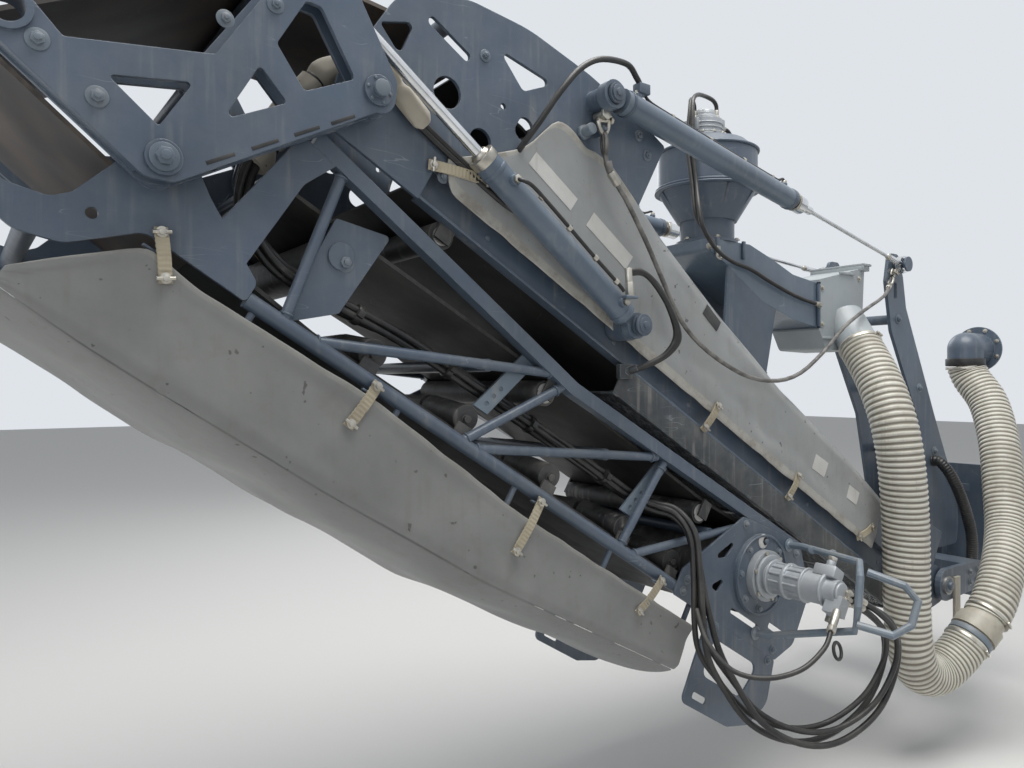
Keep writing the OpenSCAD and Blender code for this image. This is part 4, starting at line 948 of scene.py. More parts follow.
def outer_side(side):
    def shape(u, v):
        x = OUTER_START + OUTER_LONG * u
        foot, shoulder = lookup(x, outer_foot), lookup(x, outer_shoulder)
        depth = foot + (shoulder - foot) * v
        free = ease((depth - foot) / 60) * (1 - 0.7 * ease((depth - shoulder + 50) / 60))
        out = free * (5 * flutter(x, side * 90, depth, 240, 7.0) - 8 * hollow(x, hoops_outer))
        out += 8 * pull(x, depth, straps_outer, foot, 240) - 2 * free
        out += 3.5 * abs(flutter(x - depth * 0.8, 0, depth * 0.5, 110, 9.0)) * ease((depth - foot) / 70)
        ridge = abs((depth - 199) - (x - 139) * 1.10) / 1.5
        out += 9 * math.exp(-(ridge / 16) ** 2) * ease((x - 100) / 60) * ease((350 - x) / 50)
        tuck = 12 * ease((v - 0.86) / 0.14)
        wave = 2.2 * flutter(x, 0, 0, 80, 4.0) * max(0.0, 1 - v * 8)
        hem = 2.5 if depth - foot < 26 else 0
        return Vector((x, side * (COVER_W + hem - tuck + max(out, -9)), -depth + wave))
    return shape


def outer_floor(u, v):
    x = OUTER_START + OUTER_LONG * u
    p = over_hoop(COVER_W - 12, lookup(x, outer_shoulder), lookup(x, outer_crown), v)
    inside = math.sin(math.pi * v)
    sag = 9 * hollow(x, hoops_outer) * inside + 4 * flutter(x, p.x, 0, 170, 2.0) * inside
    return Vector((x, p.x, -(p.y - sag)))


def outer_hem(u, v):
    return 0.45 * (1 - ease((v - 0.05) / 0.04))


near = drape("near", 84, 20, outer_side(-1), 0.24, 2.18, outer_hem)
far = drape("far", 84, 20, outer_side(1), 0.24, 2.18, outer_hem)
base = drape("floor_cloth", 72, 36, outer_floor, 0.86, 2.18)
lower_cover, area = sew("lower_cover_canvas", [near, far, base], OUTER)
print("lower cover:", round(area, 3), "square metres,", len(lower_cover.data.polygons), "faces")
own(lower_cover, "outer", "cover_fabric")
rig.replaces(lower_cover, "outer_cover")
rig.sheet(lower_cover, (1.42, 2.19), "stretched", ["outer_hoops"], area=2.65)

# %% [markdown]
# Small parts come from one kit: round bars, plates and bent strips are drawn in a section's millimetres, joined
# into one piece for each body and finish, and then put in place.
# %% Small parts kit
WELL_OUTSIDE = 900


def bar(a, b, r, sides=24, end_r=None, bevel=0.0):
    """A round bar from a to b; end_r tapers it and bevel rounds its rims."""
    a, b = Vector(a), Vector(b)
    clear()
    bpy.ops.mesh.primitive_cone_add(vertices=sides, radius1=r, radius2=r if end_r is None else end_r,
                                    depth=(b - a).length, location=(a + b) / 2,
                                    rotation=(b - a).to_track_quat("Z", "Y").to_euler())
    return bevelled(bpy.context.object, bevel)


def slab(low, high, bevel=1.5, turn=0.0):
    """A box between two corners, turned about its own y axis by turn degrees."""
    low, high = Vector(low), Vector(high)
    clear()
    bpy.ops.mesh.primitive_cube_add(size=1, location=(low + high) / 2, rotation=(0, math.radians(turn), 0))
    obj = bpy.context.object
    obj.scale = high - low
    pick(obj)
    bpy.ops.object.transform_apply(location=False, rotation=False, scale=True)
    return bevelled(obj, bevel)


def bevelled(obj, width, segments=2):
    pick(obj)
    if width:
        edge = obj.modifiers.new("rims", "BEVEL")
        edge.width, edge.segments, edge.limit_method = width, segments, "ANGLE"
        bpy.ops.object.modifier_apply(modifier=edge.name)
    return obj


def bolt(at, out, r=12.0, high=9.0, washer=0.0, nose=0.0):
    """A hexagon head standing on at, pointing along out, with a washer below and a thread end above."""
    at, out = Vector(at), Vector(out).normalized()
    parts = []
    if washer:
        parts.append(bar(at, at + out * 2.5, washer, 24, None, 0.6))
        at = at + out * 2.5
    parts.append(bar(at, at + out * high, r, 6, None, 1.2))
    if nose:
        parts.append(bar(at + out * high, at + out * (high + nose), r * 0.52, 16, None, 1.0))
    return parts


def joined(name, parts, place, angle=40):
    """One piece from many, put in place and shaded."""
    obj = one_from(name, parts)
    pick(obj)
    bpy.ops.object.transform_apply(location=True, rotation=True, scale=True)
    settle(obj, place)
    return soften(obj, angle)


def tangent_at(line, i):
    return (line[min(i + 1, len(line) - 1)] - line[max(i - 1, 0)]).normalized()


def ribbon(name, marks, width, thick, out, pitch=0.0):
    """A strip along marks, its face turned to out; with a pitch it has raised bars across it."""
    line = resample(smooth_line(marks, 12), pitch / 4 if pitch else 8)
    out = Vector(out)

    def shape(u, v):
        i = round(u * (len(line) - 1))
        side = out.cross(tangent_at(line, i)).normalized()
        bar_high = 1.8 if pitch and i % 4 > 1 and 0.1 < v < 0.9 else 0.0
        lip = 1.2 if v < 0.1 or v > 0.9 else 0.0
        return line[i] + side * (width * (v - 0.5)) + out * (bar_high + (lip if pitch else 0.0))
    strip = drape(name, len(line) - 1, 8, shape, width * MM, line_length(line) * MM)
    return thicken(strip, thick, -1)


def surface_y(target, place, x, z, side):
    """Where a line along y meets a finished piece, as a section's y in millimetres."""
    start = place @ Vector((x, side * WELL_OUTSIDE, z))
    hit, spot = target.ray_cast(start, Vector((0, -side, 0)))[:2]
    return (place.inverted() @ spot).y if hit else side * COVER_W


def patch(name, target, place, x, z, wide, high, turn=0.0, side=-1, thick=1.2):
    """A thin patch that follows the cloth under it."""
    c, s = math.cos(math.radians(turn)), math.sin(math.radians(turn))

    def shape(u, v):
        px = x + wide * (u - 0.5) * c - high * (v - 0.5) * s
        pz = z + wide * (u - 0.5) * s + high * (v - 0.5) * c
        return Vector((px, surface_y(target, place, px, pz, side) + side * thick * 0.8, pz))
    return thicken(drape(name, 8, 6, shape, high * MM, wide * MM), thick)


print("small parts kit ready")

# %% [markdown]
# Rubber straps with steel pins hold the covers to the frames. The cloth isn't flat, so a ray finds where each
# strap's end meets it, and the blank patches and the vents are laid on it in the same way.
# %% Straps
def strap_set(label, target, place, rows, body):
    """Rubber straps: each row is its end on the cloth, its end on the frame, and how far it stands out."""
    bands, pins = [], []
    for side in (-1, 1):
        for (x0, z0), (x1, z1), stand in rows:
            y0 = surface_y(target, place, x0, z0, side) + side * 5
            y1 = side * stand
            mid = ((x0 + x1) / 2, (y0 + y1) / 2 + side * 5, (z0 + z1) / 2)
            run = Vector((x1 - x0, 0, z1 - z0)).normalized()
            a, b = Vector((x0, y0, z0)), Vector((x1, y1, z1))
            bands.append(ribbon(label, [a - run * 10, a, mid, b, b + run * 12 - Vector((0, side * 6, 0))],
                                27, 5, (0, side, 0), 11.0))
            for end in (a, b):
                across = Vector((run.z, 0, -run.x)) * 19
                pins.append(bar(end - across + Vector((0, side * 5, 0)), end + across + Vector((0, side * 5, 0)),
                                4.5, 12, None, 1.0))
                pins += bolt(end + Vector((0, side * 3, 0)), (0, side, 0), 8, 6, 12)
    own(joined(label + "_straps", bands, place), body, "strap_rubber", "sleeve_fabric")
    own(joined(label + "_pins", pins, place), body, "zinc", "pin_steel")


strap_set("lower", lower_cover, OUTER,
          [((137, -187), (81, -108), 402), ((654, -239), (667, -126), 404),
           ((1265, -296), (1275, -140), 404), ((1813, -256), (1850, -136), 404)], "outer")
strap_set("upper", upper_cover, INNER,
          [((-2951, 3), (-3102, -66), 402), ((-1818, -62), (-1829, -152), 402),
           ((-1276, -62), (-1282, -154), 402), ((-700, -20), (-760, -90), 402)], "inner")
labels = [patch("blank", upper_cover, INNER, x, z, w, h, t) for x, z, w, h, t in (
    (-2765, 150, 190, 46, -6), (-2500, 132, 200, 52, -6), (-1149, 42, 92, 60, 4), (-884, 40, 78, 54, 2))]
labels += [patch("blank", upper_cover, INNER, -1149, 42, 92, 60, 4, 1)]
own(joined("blank_patches", labels, INNER), "inner", "label_blank", "cover_fabric")
slot_patch = [patch("vent", upper_cover, INNER, -1976, 195, 92, 40, -9, side, 2.0) for side in (-1, 1)]
own(joined("cover_vents", slot_patch, INNER), "inner", "hose_black")
print("straps and patches on")

# %% [markdown]
# The suction hoses are soft plastic round a stiff helix. The ring swells once a turn, and the swelling is also kept
# as an attribute, so that the finish can darken the valleys between ribs. Each hose bends across one joint.
# %% Suction hoses
HOSE_R = 0.090
HOSE_TOP = (-1290, -262, 975)
COUPLING_IN, COUPLING_OUT = Vector((-945, -566, -325)), Vector((-850, -597, -237))
CLAMP_R = 93.5
hose_marks_1 = [HOSE_TOP, (-1317, -316, 908), (-1345, -370, 838), (-1378, -430, 740), (-1397, -480, 610),
                (-1388, -503, 440), (-1366, -507, 200), (-1358, -507, -60), (-1335, -507, -280),
                (-1255, -507, -405), (-1130, -518, -440), (-1010, -545, -385), (-945, -566, -325)]
hose_marks_2 = [(-850, -597, -237), (-780, -608, -160), (-640, -590, -20), (-500, -545, 110), (-410, -500, 260),
                (-290, -430, 500), (-190, -340, 700), (-150, -240, 830), (-150, -210, 900)]


def ribbed_hose(name, marks, pitch=0.023, sides=36, low=0.955, per_turn=6):
    line = resample([WORLD @ p for p in smooth_line(marks, 14)], pitch / per_turn)

    def rise(i, a):
        return 0.5 + 0.5 * math.cos(2 * math.pi * i / per_turn - a)
    obj = carry_ring(name, line, HOSE_R, sides, lambda i, a: low + (1.012 - low) * rise(i, a) ** 0.7)
    mark = obj.data.attributes.new("ridge", "FLOAT", "POINT")
    for k in range(len(line) * sides):
        mark.data[k].value = rise(k // sides, 2 * math.pi * (k % sides) / sides)
    return obj


upper_hose = ribbed_hose("suction_hose_upper_ribbed", hose_marks_1)
bridge(upper_hose, ("inner", "slew"), (-1.29, -0.262, 0.975), (-1.1, -0.53, -0.36), "hose_ribs", "hose_cream")
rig.replaces(upper_hose, "suction_hose_upper")
lower_hose = ribbed_hose("suction_hose_lower_ribbed", hose_marks_2)
bridge(lower_hose, ("slew", "base"), (-0.80, -0.60, -0.19), (-0.17, -0.27, 0.80), "hose_ribs", "hose_cream")
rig.replaces(lower_hose, "suction_hose_lower")


def hose_band(at, along, r, wide, body_parts, screw=(0, -1, 0)):
    """A worm clamp round a hose: its band, two rims and the screw housing."""
    at, along, screw = Vector(at), Vector(along).normalized(), Vector(screw)
    screw = (screw - along * screw.dot(along)).normalized()
    body_parts.append(bar(at - along * wide / 2, at + along * wide / 2, r, 40, None, 1.0))
    across = along.cross(screw)
    hold = at + screw * (r + 4)
    body_parts.append(bar(hold - across * 17, hold + across * 17, 5.5, 10, None, 1.0))
    body_parts.append(bar(hold + across * 17, hold + across * 23, 7.0, 6, None, 0.8))


top = Vector(HOSE_TOP)
top_run = (Vector((-1317, -316, 908)) - top).normalized()
joint_run = (COUPLING_OUT - COUPLING_IN).normalized()
clamp_bits = []
hose_band(top + top_run * 14, top_run, 93, 14, clamp_bits)
own(joined("upper_hose_clamp", clamp_bits, WORLD), "inner", "zinc", "pin_steel")
clamp_bits = []
hose_band(COUPLING_IN - joint_run * 16, joint_run, CLAMP_R, 14, clamp_bits)
hose_band(COUPLING_OUT + joint_run * 16, joint_run, CLAMP_R, 14, clamp_bits)
own(joined("coupling_clamps", clamp_bits, WORLD), "slew", "zinc", "pin_steel")
tape = bar(COUPLING_IN + joint_run * 4, COUPLING_IN + joint_run * 30, 92, 40, None, 1.5)
own(joined("coupling_tape", [tape], WORLD), "slew", "guard_paint")
clamp_bits = []
hose_band((-150, -210, 884), (0, 0, 1), CLAMP_R, 14, clamp_bits)
own(joined("inlet_clamp", clamp_bits, WORLD), "base", "zinc", "pin_steel")
cuff = bar((-150, -210, 896), (-150, -210, 936), 95, 40, None, 5)
own(joined("inlet_cuff", [cuff], WORLD), "base", "hose_black")
flange = []
for k in range(8):
    a = math.radians(22.5 + 45 * k)
    flange += bolt((-12, -210 + 106 * math.cos(a), 990 + 106 * math.sin(a)), (-1, 0, 0), 8, 6, 12)
own(joined("inlet_bolts", flange, WORLD), "base", "zinc", "pin_steel")
print("suction hoses:", len(upper_hose.data.polygons) + len(lower_hose.data.polygons), "faces")

# %% [markdown]
# The corrugated loom beside the slewing frame has the same ring with closer, blunter ribs.
# %% Corrugated loom
loom_marks = [(-420, -166.3, 400), (-418, -205, 395), (-390, -250, 320), (-320, -275, 180), (-255, -285, 20),
              (-250, -285, -110), (-310, -285, -205), (-400, -285, -190), (-450, -285, -140), (-489.7, -285, -130)]
loom_line = resample([WORLD @ p for p in smooth_line(loom_marks, 14)], 0.0032)
loom = carry_ring("harness_loom", loom_line, 0.028, 20, lambda i, a: (0.9, 1.0, 1.0, 0.9)[i % 4])
own(loom, "slew", "hose_black")
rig.replaces(loom, "harness_hose")
print("loom:", len(loom.data.polygons), "faces")

# %% [markdown]
# Four hydraulic hoses run together along the lower section, twist slowly about one another, open out in the
# service loop and end in the drive motor's ports. Two of them carry a plain broken line.
# %% Hydraulic hoses
bundle_marks = [(165, -318, 262), (158, -318, 160), (205, -318, 60), (310, -318, 8), (439, -318, 4), (560, -318, 20),
                (720, -318, 42), (1000, -318, 52), (1400, -318, 60), (1690, -318, 64), (1770, -330, 78),
                (1828, -372, 88), (1880, -428, 40), (1945, -452, -70), (2010, -468, -175), (2090, -478, -262),
                (2200, -498, -320), (2350, -540, -380), (2500, -600, -372), (2630, -650, -300), (2710, -700, -160),
                (2700, -730, -10), (2600, -752, 70), (2480, -750, 88), (2358, -722, 88)]
BUNDLE_R, BUNDLE_TURNS, SPREAD_FROM = 13.5, 1.6, 0.52


def strand_of(marks, offset, angle, turns, spread_from, spread_by, steps=6):
    """A line beside another: offset from it, winding round it, and further out after spread_from of its length."""
    middle = smooth_line(marks, steps)
    line, side = [], None
    for i, p in enumerate(middle):
        t = tangent_at(middle, i)
        side = t.cross(Vector((0.1, 1, 0.15))).normalized() if side is None else (side - t * side.dot(t)).normalized()
        share = i / (len(middle) - 1)
        a = math.radians(angle) + 2 * math.pi * turns * share
        wide = offset * (1 + (spread_by - 1) * ease((share - spread_from) / 0.12) * ease((0.99 - share) / 0.1))
        line.append(p + (side * math.cos(a) + t.cross(side) * math.sin(a)) * wide)
    return line


def dashed(obj, sides, column, on=14, period=34):
    """A broken line along a hose, kept as an attribute."""
    mark = obj.data.attributes.new("dash", "FLOAT", "POINT")
    rings = len(obj.data.vertices) // sides
    for i in range(rings):
        if i % period < on:
            mark.data[i * sides + column].value = 1.0


bundle_parts = []
for k, (angle, radius, spread_by) in enumerate(((10, 10.5, 2.6), (100, 10.5, 1.9), (190, 9.5, 2.4), (280, 9.5, 1.6))):
    strand = strand_of(bundle_marks, BUNDLE_R, angle, BUNDLE_TURNS, SPREAD_FROM, spread_by)
    line = [MM * p for p in resample(strand, 7)]
    hose = carry_ring("hydraulic_hose", line, radius * MM, 12)
    if k < 2:
        dashed(hose, 12, 2 + 3 * k)
    bundle_parts.append(hose)
hoses = joined("hydraulic_hoses", [in_millimetres(hose) for hose in bundle_parts], OUTER, 60)
own(hoses, "outer", "hose_black")
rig.replaces(hoses, "hose_bundle")
ends = []
for angle in (10, 100, 190, 280):
    line = strand_of(bundle_marks, BUNDLE_R, angle, BUNDLE_TURNS, SPREAD_FROM, 1)
    tip, run = line[-1], (line[-1] - line[-4]).normalized()
    ends += [bar(tip - run * 60, tip - run * 22, 12, 16, None, 1.5),
             bar(tip - run * 24, tip - run * 6, 13.5, 6, None, 1), bar(tip - run * 8, tip + run * 26, 8, 12)]
ends += [bar((2358, -722, 100), (2330, -712, 92), 15, 20, None, 2),
         bar((2372, -722, 74), (2326, -716, 70), 14, 20, None, 2)]
own(joined("hose_fittings", ends, OUTER), "outer", "zinc", "pin_steel")
print("hydraulic hoses:", len(hoses.data.polygons), "faces")

# %% [markdown]
# A cloth sleeve with ties gathers the hoses where they pass the fold. One piece would have to follow three
# bodies, so it is made in two, and each bends between two bodies.
# %% Hose sleeves
TIE_STEP = 26


def gathered(i, a):
    """Cloth gathered under its ties: narrow there, puffed and pleated between."""
    tied = math.exp(-((i % TIE_STEP - TIE_STEP // 2) / 2.6) ** 2)
    pleats = 0.05 * math.cos(5 * a + i * 0.12) * (1 - tied)
    return 1.0 - 0.26 * tied + pleats + 0.05 * noise.noise(Vector((i * 0.16, a, 0)))


def outer_world(p):
    return WORLD.inverted() @ (OUTER @ Vector(p))


bundle_top = outer_world(bundle_marks[0])
bundle_next = outer_world(bundle_marks[1])
sleeve_marks = [(-3560, -336, 1490), (-3640, -342, 1545), (-3730, -344, 1578), (-3815, -343, 1556),
                (-3880, -334, 1480), (-3925, -322, 1420), tuple(bundle_top),
                tuple(bundle_top + (bundle_next - bundle_top) * 0.9)]
sleeve_line = resample(smooth_line(sleeve_marks, 12), 5)
half = len(sleeve_line) * 5 // 9
for label, line, bodies, start, end in (
        ("inner", sleeve_line[:half + 1], ("inner", "link"), sleeve_line[0], sleeve_line[half]),
        ("outer", sleeve_line[half:], ("link", "outer"), sleeve_line[half], sleeve_line[-1])):
    sleeve = carry_ring("hose_sleeve_" + label, [MM * p for p in line], 0.036, 24, gathered)
    bridge(sleeve, bodies, MM * start, MM * end, "sleeve_fabric")
    if label == "inner":
        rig.replaces(sleeve, "hose_sleeve")
    tie_bits = [bar(line[i] - tangent_at(line, i) * 4, line[i] + tangent_at(line, i) * 4, 30, 20, None, 1.5)
                for i in range(TIE_STEP // 2, len(line) - 1, TIE_STEP)]
    if tie_bits:
        ties = joined("sleeve_ties_" + label, tie_bits, WORLD)
        bridge(ties, bodies, MM * start, MM * end, "hose_black")
print("hose sleeves gathered")

# %% [markdown]
# The belt's three fixed lengths meet at the fold. Its slack hangs round the far end of the links, so it is made in
# two pieces that bend with the fold.
# %% Belt round the fold
def inner_world(p):
    return WORLD.inverted() @ (INNER @ Vector(p))


def round_point(c, r, a):
    return Vector((c[0] + r * math.cos(math.radians(a)), 0, c[1] + r * math.sin(math.radians(a))))


BELT_W = 680
ROLLER_AT, ROLLER_R = (-3925, 1735), 54
TURN_AT, TURN_R = (-4474, 1480), 42
belt_marks = [inner_world((-3150, 0, 241)), inner_world((-3300, 0, 256))]
belt_marks += [round_point(ROLLER_AT, ROLLER_R, a) for a in (72, 95, 118)]
belt_marks += [round_point(TURN_AT, TURN_R, a) for a in (118, 150, 180, 210, 235)]
belt_marks += [outer_world((130, 0, -66)), outer_world((170, 0, -64))]
belt_line = resample(smooth_line(belt_marks, 10), 14)
split = min(range(len(belt_line)), key=lambda i: (belt_line[i] - round_point(TURN_AT, TURN_R, 170)).length)
for label, line, bodies, start, end in (
        ("inner", belt_line[:split + 1], ("inner", "link"), belt_line[0], round_point(ROLLER_AT, ROLLER_R, 118)),
        ("outer", belt_line[split:], ("link", "outer"), belt_line[split + 3], belt_line[-1])):
    def shape(u, v, line=line):
        i = round(u * (len(line) - 1))
        lift = tangent_at(line, i).cross(Vector((0, 1, 0)))
        sag = 5 * flutter(line[i].x, BELT_W * v, line[i].z, 300) * math.sin(math.pi * v)
        return line[i] + Vector((0, BELT_W * (v - 0.5), 0)) + lift * sag
    cloth_belt = drape("belt_" + label, len(line) - 1, 24, shape, 0.68, line_length(line) * MM)
    belt_piece, area = sew("fold_belt_" + label, [cloth_belt], WORLD, 10, 0)
    bridge(belt_piece, bodies, MM * start, MM * end, "belt_worn", "belt_rubber")
    if label == "inner":
        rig.replaces(belt_piece, "fold_belt")
print("fold belt:", round(line_length(belt_line)), "mm long")

# %% [markdown]
# An expanded metal guard closes the underside of the upper section. Its lattice is a grid of diamonds, and the
# Wireframe modifier turns their edges into strands.
# %% Expanded metal guard
def diamonds(name, x0, x1, half, z, long=52.0, wide=22.0):
    """Diamonds that fill a rectangle; every second column is shifted by half a diamond."""
    verts, faces, known = [], [], {}

    def corner(x, y):
        key = (round(x, 2), round(y, 2))
        if key not in known:
            known[key] = len(verts)
            verts.append((key[0], key[1], z))
        return known[key]
    columns, rows = int((x1 - x0) / long), int(2 * half / wide)
    for i in range(2 * columns - 1):
        for j in range(rows - i % 2):
            cx, cy = x0 + (i + 1) * long / 2, -half + (j + 0.5 + 0.5 * (i % 2)) * wide
            faces.append([corner(cx - long / 2, cy), corner(cx, cy - wide / 2), corner(cx + long / 2, cy),
                          corner(cx, cy + wide / 2)])
    obj = mesh_piece(name, verts, faces)
    pick(obj)
    strands = obj.modifiers.new("strands", "WIREFRAME")
    strands.thickness = 5.0
    strands.use_even_offset = False
    bpy.ops.object.modifier_apply(modifier=strands.name)
    return obj


guard_parts = [diamonds("lattice", -2238, -362, 372, -252)]
for side in (-1, 1):
    guard_parts.append(slab((-2250, side * 382 - 10, -256), (-350, side * 382 + 10, -248)))
    guard_parts.append(slab((-2250, side * 389 - 3, -252), (-350, side * 389 + 3, -160)))
for x in (-2250, -1780, -1310, -840, -370):
    guard_parts.append(slab((x, -390, -258), (x + 24, 390, -250)))
mesh_guard = joined("expanded_guard", guard_parts, INNER, 30)
own(mesh_guard, "inner", "mesh_paint")
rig.replaces(mesh_guard, "mesh_guard")
print("guard:", len(mesh_guard.data.polygons), "faces")

# %% [markdown]
# Fasteners stand where the frame's plates are bolted. They are grouped by body, so that each group is one piece.
# %% Fasteners
LINK_FACE = 476
BOSS_X, BOSS_Z = -3331, -55
heads = {"link": [], "inner": [], "outer": [], "slew": [], "base": []}
for side in (-1, 1):
    out = (0, side, 0)
    for x, z, r in ((-4425, 1430, 13), (-4328, 1346, 13), (-4091, 1560, 11), (-3985, 1620, 11)):
        heads["link"] += bolt((x, side * LINK_FACE, z), out, r, 9, r + 8, 5)
    heads["link"] += bolt((-3870, side * (LINK_FACE + 6), 1725), out, 14, 8, 24)
for side in (-1, 1):
    out = (0, side, 0)
    for x, z, r in ((-2560, 500, 11), (-2500, 470, 11), (-3340, 60, 10), (-3120, 300, 10), (-3060, -70, 10)):
        heads["inner"] += bolt((x, side * FRAME_HALF, z), out, r, 8, r + 7, 4)
    for k in range(6):
        a = math.radians(60 * k + 20)
        x, z = BOSS_X + 29 * math.cos(a), BOSS_Z + 29 * math.sin(a)
        heads["inner"].append(bar((x, side * 484, z), (x, side * 488, z), 4, 10, None, 0.6))
    heads["inner"].append(bar((BOSS_X, side * 496, BOSS_Z), (BOSS_X, side * 506, BOSS_Z), 20, 28, None, 2))
    heads["inner"] += bolt((-2706, side * 422, 388), out, 12, 9, 20, 5)
    for x in (-2850, -2300, -1900, -1100, -500):
        heads["inner"] += bolt((x, side * 352, -105), out, 9, 7, 15)
    heads["outer"].append(bar((0, side * 484, 0), (0, side * 490, 0), 29, 28, None, 1.5))
    heads["outer"] += bolt((0, side * 490, 0), out, 19, 12, 0, 6)
    heads["outer"] += bolt((455, side * 352, 100), out, 15, 10, 24, 6)
    for k in range(8):
        a = math.radians(45 * k + 22.5)
        heads["outer"] += bolt((2312 + 120 * math.cos(a), side * 412, 85 + 120 * math.sin(a)), out, 10, 8, 15)
    for x, z in ((1965, -85), (1965, -125), (2480, 240), (2530, -120), (2150, 205), (2180, -165), (2520, -165)):
        heads["outer"] += bolt((x, side * 400, z), out, 10, 8, 16, 3)
    for x, z in ((-770, 1120), (-560, 780), (-400, 450)):
        heads["slew"] += bolt((x, side * 166, z), out, 14, 9, 24, 5)
    heads["slew"] += bolt((-815, side * 176, 1400), out, 9, 7, 15)
    for x in (-520, -600):
        for z in (-100, -150):
            heads["slew"] += bolt((x, side * 427, z), out, 11, 8, 18)
    heads["slew"] += bolt((-830, side * 437, -130), out, 20, 12, 34)
    for z in (310, -310):
        heads["base"] += bolt((-25, side * 270, z), (-1, 0, 0), 18, 15, 26, 8)
flats = {"link": WORLD, "inner": INNER, "outer": OUTER, "slew": WORLD, "base": WORLD}
for body, parts in heads.items():
    own(joined("fasteners_" + body, parts, flats[body], 30), body, "bolt_paint", "frame_paint")
print("fasteners:", sum(len(p) for p in heads.values()), "parts")

# %% [markdown]
# A row of slots shows along the links' lower edges, between the two plates. Thin black slabs on the plates stand for
# the shade inside the slots: painted shade.
# %% Link slots, painted shade
slot_shades = []
for side in (-1, 1):
    for x, z in ((-4100, 1268), (-4007, 1314), (-3914, 1361), (-3829, 1403)):
        # painted shade: a thin black slab on the plate face stands for the dark inside of a slot
        slot_shades.append(slab((x - 32, side * LINK_FACE - 1, z - 4), (x + 32, side * LINK_FACE + 1, z + 4), 0.4, -27))
own(joined("link_slot_shades", slot_shades, WORLD), "link", "hose_black")
print("tabs:", len(slot_shades))

# %% [markdown]
# Each fold cylinder has a gland, weld rings, port blocks and a hard line along its barrel. The near one also has
# twin hoses, and a cloth sleeve with two hoses beside its rod. A tube that is bent through marks is drawn with the
# same ring as the hoses.
# %% Fold cylinders
def bent(marks, r, sides=10, step=6):
    """A round line through marks in millimetres, ready to be joined."""
    line = [MM * p for p in resample(smooth_line(marks, 10), step)]
    return in_millimetres(carry_ring("line", line, r * MM, sides))


BARREL_EYE, ROD_EYE = Vector((-2872, 0, 977)), Vector((-3870, 0, 1725))
fold_run = (ROD_EYE - BARREL_EYE).normalized()
fold_up = Vector((-fold_run.z, 0, fold_run.x)) * -1
steel_parts, zinc_parts, black_parts, eye_parts = [], [], [], []
for side in (-1, 1):
    axis = Vector((0, side * 446, 0))

    def at(s, up=0.0, out=0.0, side=side, axis=axis):
        return BARREL_EYE + axis + fold_run * s + fold_up * up + Vector((0, side * out, 0))
    zinc_parts.append(bar(at(676), at(702), 39, 36, None, 2))
    zinc_parts.append(bar(at(702), at(712), 28, 32, 22, 1))
    steel_parts += [bar(at(60), at(76), 40, 36, None, 2), bar(at(640), at(652), 39.5, 36, None, 1.5)]
    for s in (105, 600):
        steel_parts.append(bar(at(s, 0, 30), at(s, 0, 50), 15, 20, None, 2))
        zinc_parts.append(bar(at(s, 0, 50), at(s, 0, 60), 12, 6, None, 1))
    black_parts.append(bent([at(600, 0, 56), at(590, 0, 70), at(560, 8, 74), at(480, 12, 70), at(300, 12, 66),
                             at(170, 12, 66), at(140, 10, 66)], 5.5))
    for s in (520, 400, 280, 180):
        zinc_parts.append(bar(at(s - 7, 12, 66), at(s + 7, 12, 66), 8.5, 14, None, 1))
    low, high = at(132, 2, 52), at(88, 24, 76)
    steel_parts.append(slab((min(low.x, high.x), min(low.y, high.y), min(low.z, high.z)),
                            (max(low.x, high.x), max(low.y, high.y), max(low.z, high.z)), 3, 0))
    port = at(110, 14, 64)
    zinc_parts += [bar(port, port + Vector((0, side * -4, 42)), 14, 6, None, 1),
                   bar(port + Vector((0, side * -4, 42)), port + Vector((0, side * -8, 84)), 11, 16, None, 1)]
    eye = BARREL_EYE + Vector((0, side * 484, 0))
    eye_parts += [bar(eye, eye + Vector((0, side * 8, 0)), 33, 32, None, 2),
                  bar(eye + Vector((0, side * 8, 0)), eye + Vector((0, side * 13, 0)), 24, 32, None, 1.5),
                  bar(eye + Vector((0, side * 12, 0)), eye + Vector((0, side * 18, 0)), 11, 24, None, 1.5)]
own(joined("fold_cylinder_steel", steel_parts, WORLD), "fold_barrels", "barrel_paint", "frame_paint")
own(joined("fold_cylinder_glands", zinc_parts, WORLD), "fold_barrels", "zinc", "pin_steel")
own(joined("fold_cylinder_lines", black_parts, WORLD, 60), "fold_barrels", "hose_black")
own(joined("fold_cylinder_pins", eye_parts, WORLD), "inner", "frame_paint")
twin = []
for dx, dz in ((0, 0), (16, -20)):
    twin.append(bent([(-2955 + dx, -498, 1130 + dz * 0.2), (-2900 + dx, -506, 1132 + dz * 0.3),
                      (-2835 + dx, -508, 1095 + dz), (-2775 + dx, -506, 1020 + dz),
                      (-2745 + dx * 0.8, -500, 950 + dz * 0.5), (-2765 + dx * 0.6, -480, 895),
                      (-2812 + dx * 0.4, -452, 862), (-2850 + dx * 0.2, -420, 842), (-2862, -398, 838)], 9.0, 12, 6))
twin_hoses = joined("fold_cylinder_hoses", twin, WORLD, 60)
bridge(twin_hoses, ("inner", "fold_barrels"), (-2.84, -0.42, 0.86), (-2.92, -0.50, 1.12), "hose_black")
twin_ends = [bar((-2858, -412, 842), (-2866, -394, 838), 13, 6, None, 1),
             bar((-2842, -432, 850), (-2856, -410, 842), 11, 16, None, 1),
             slab((-2895, -410, 815), (-2835, -392, 862), 3)]
own(joined("fold_hose_connector", twin_ends, WORLD), "inner", "mesh_paint")
wrap_line = resample(smooth_line([(-3703, 0, 1580), (-3663, 0, 1541), (-3615, 0, 1496), (-3574, 0, 1457)], 12), 5)
wrap = carry_ring("rod_side_sleeve", [MM * p for p in wrap_line], 0.031, 28,
                  lambda i, a: min(1, 0.5 + 0.14 * min(i, len(wrap_line) - 1 - i)) * gathered(i + TIE_STEP, a))
wrap.scale, wrap.location = (1, 0.52, 1), (0, -0.410, 0)
pick(wrap)
bpy.ops.object.transform_apply(location=True, scale=True)
own(wrap, "link", "sleeve_fabric")
under = []
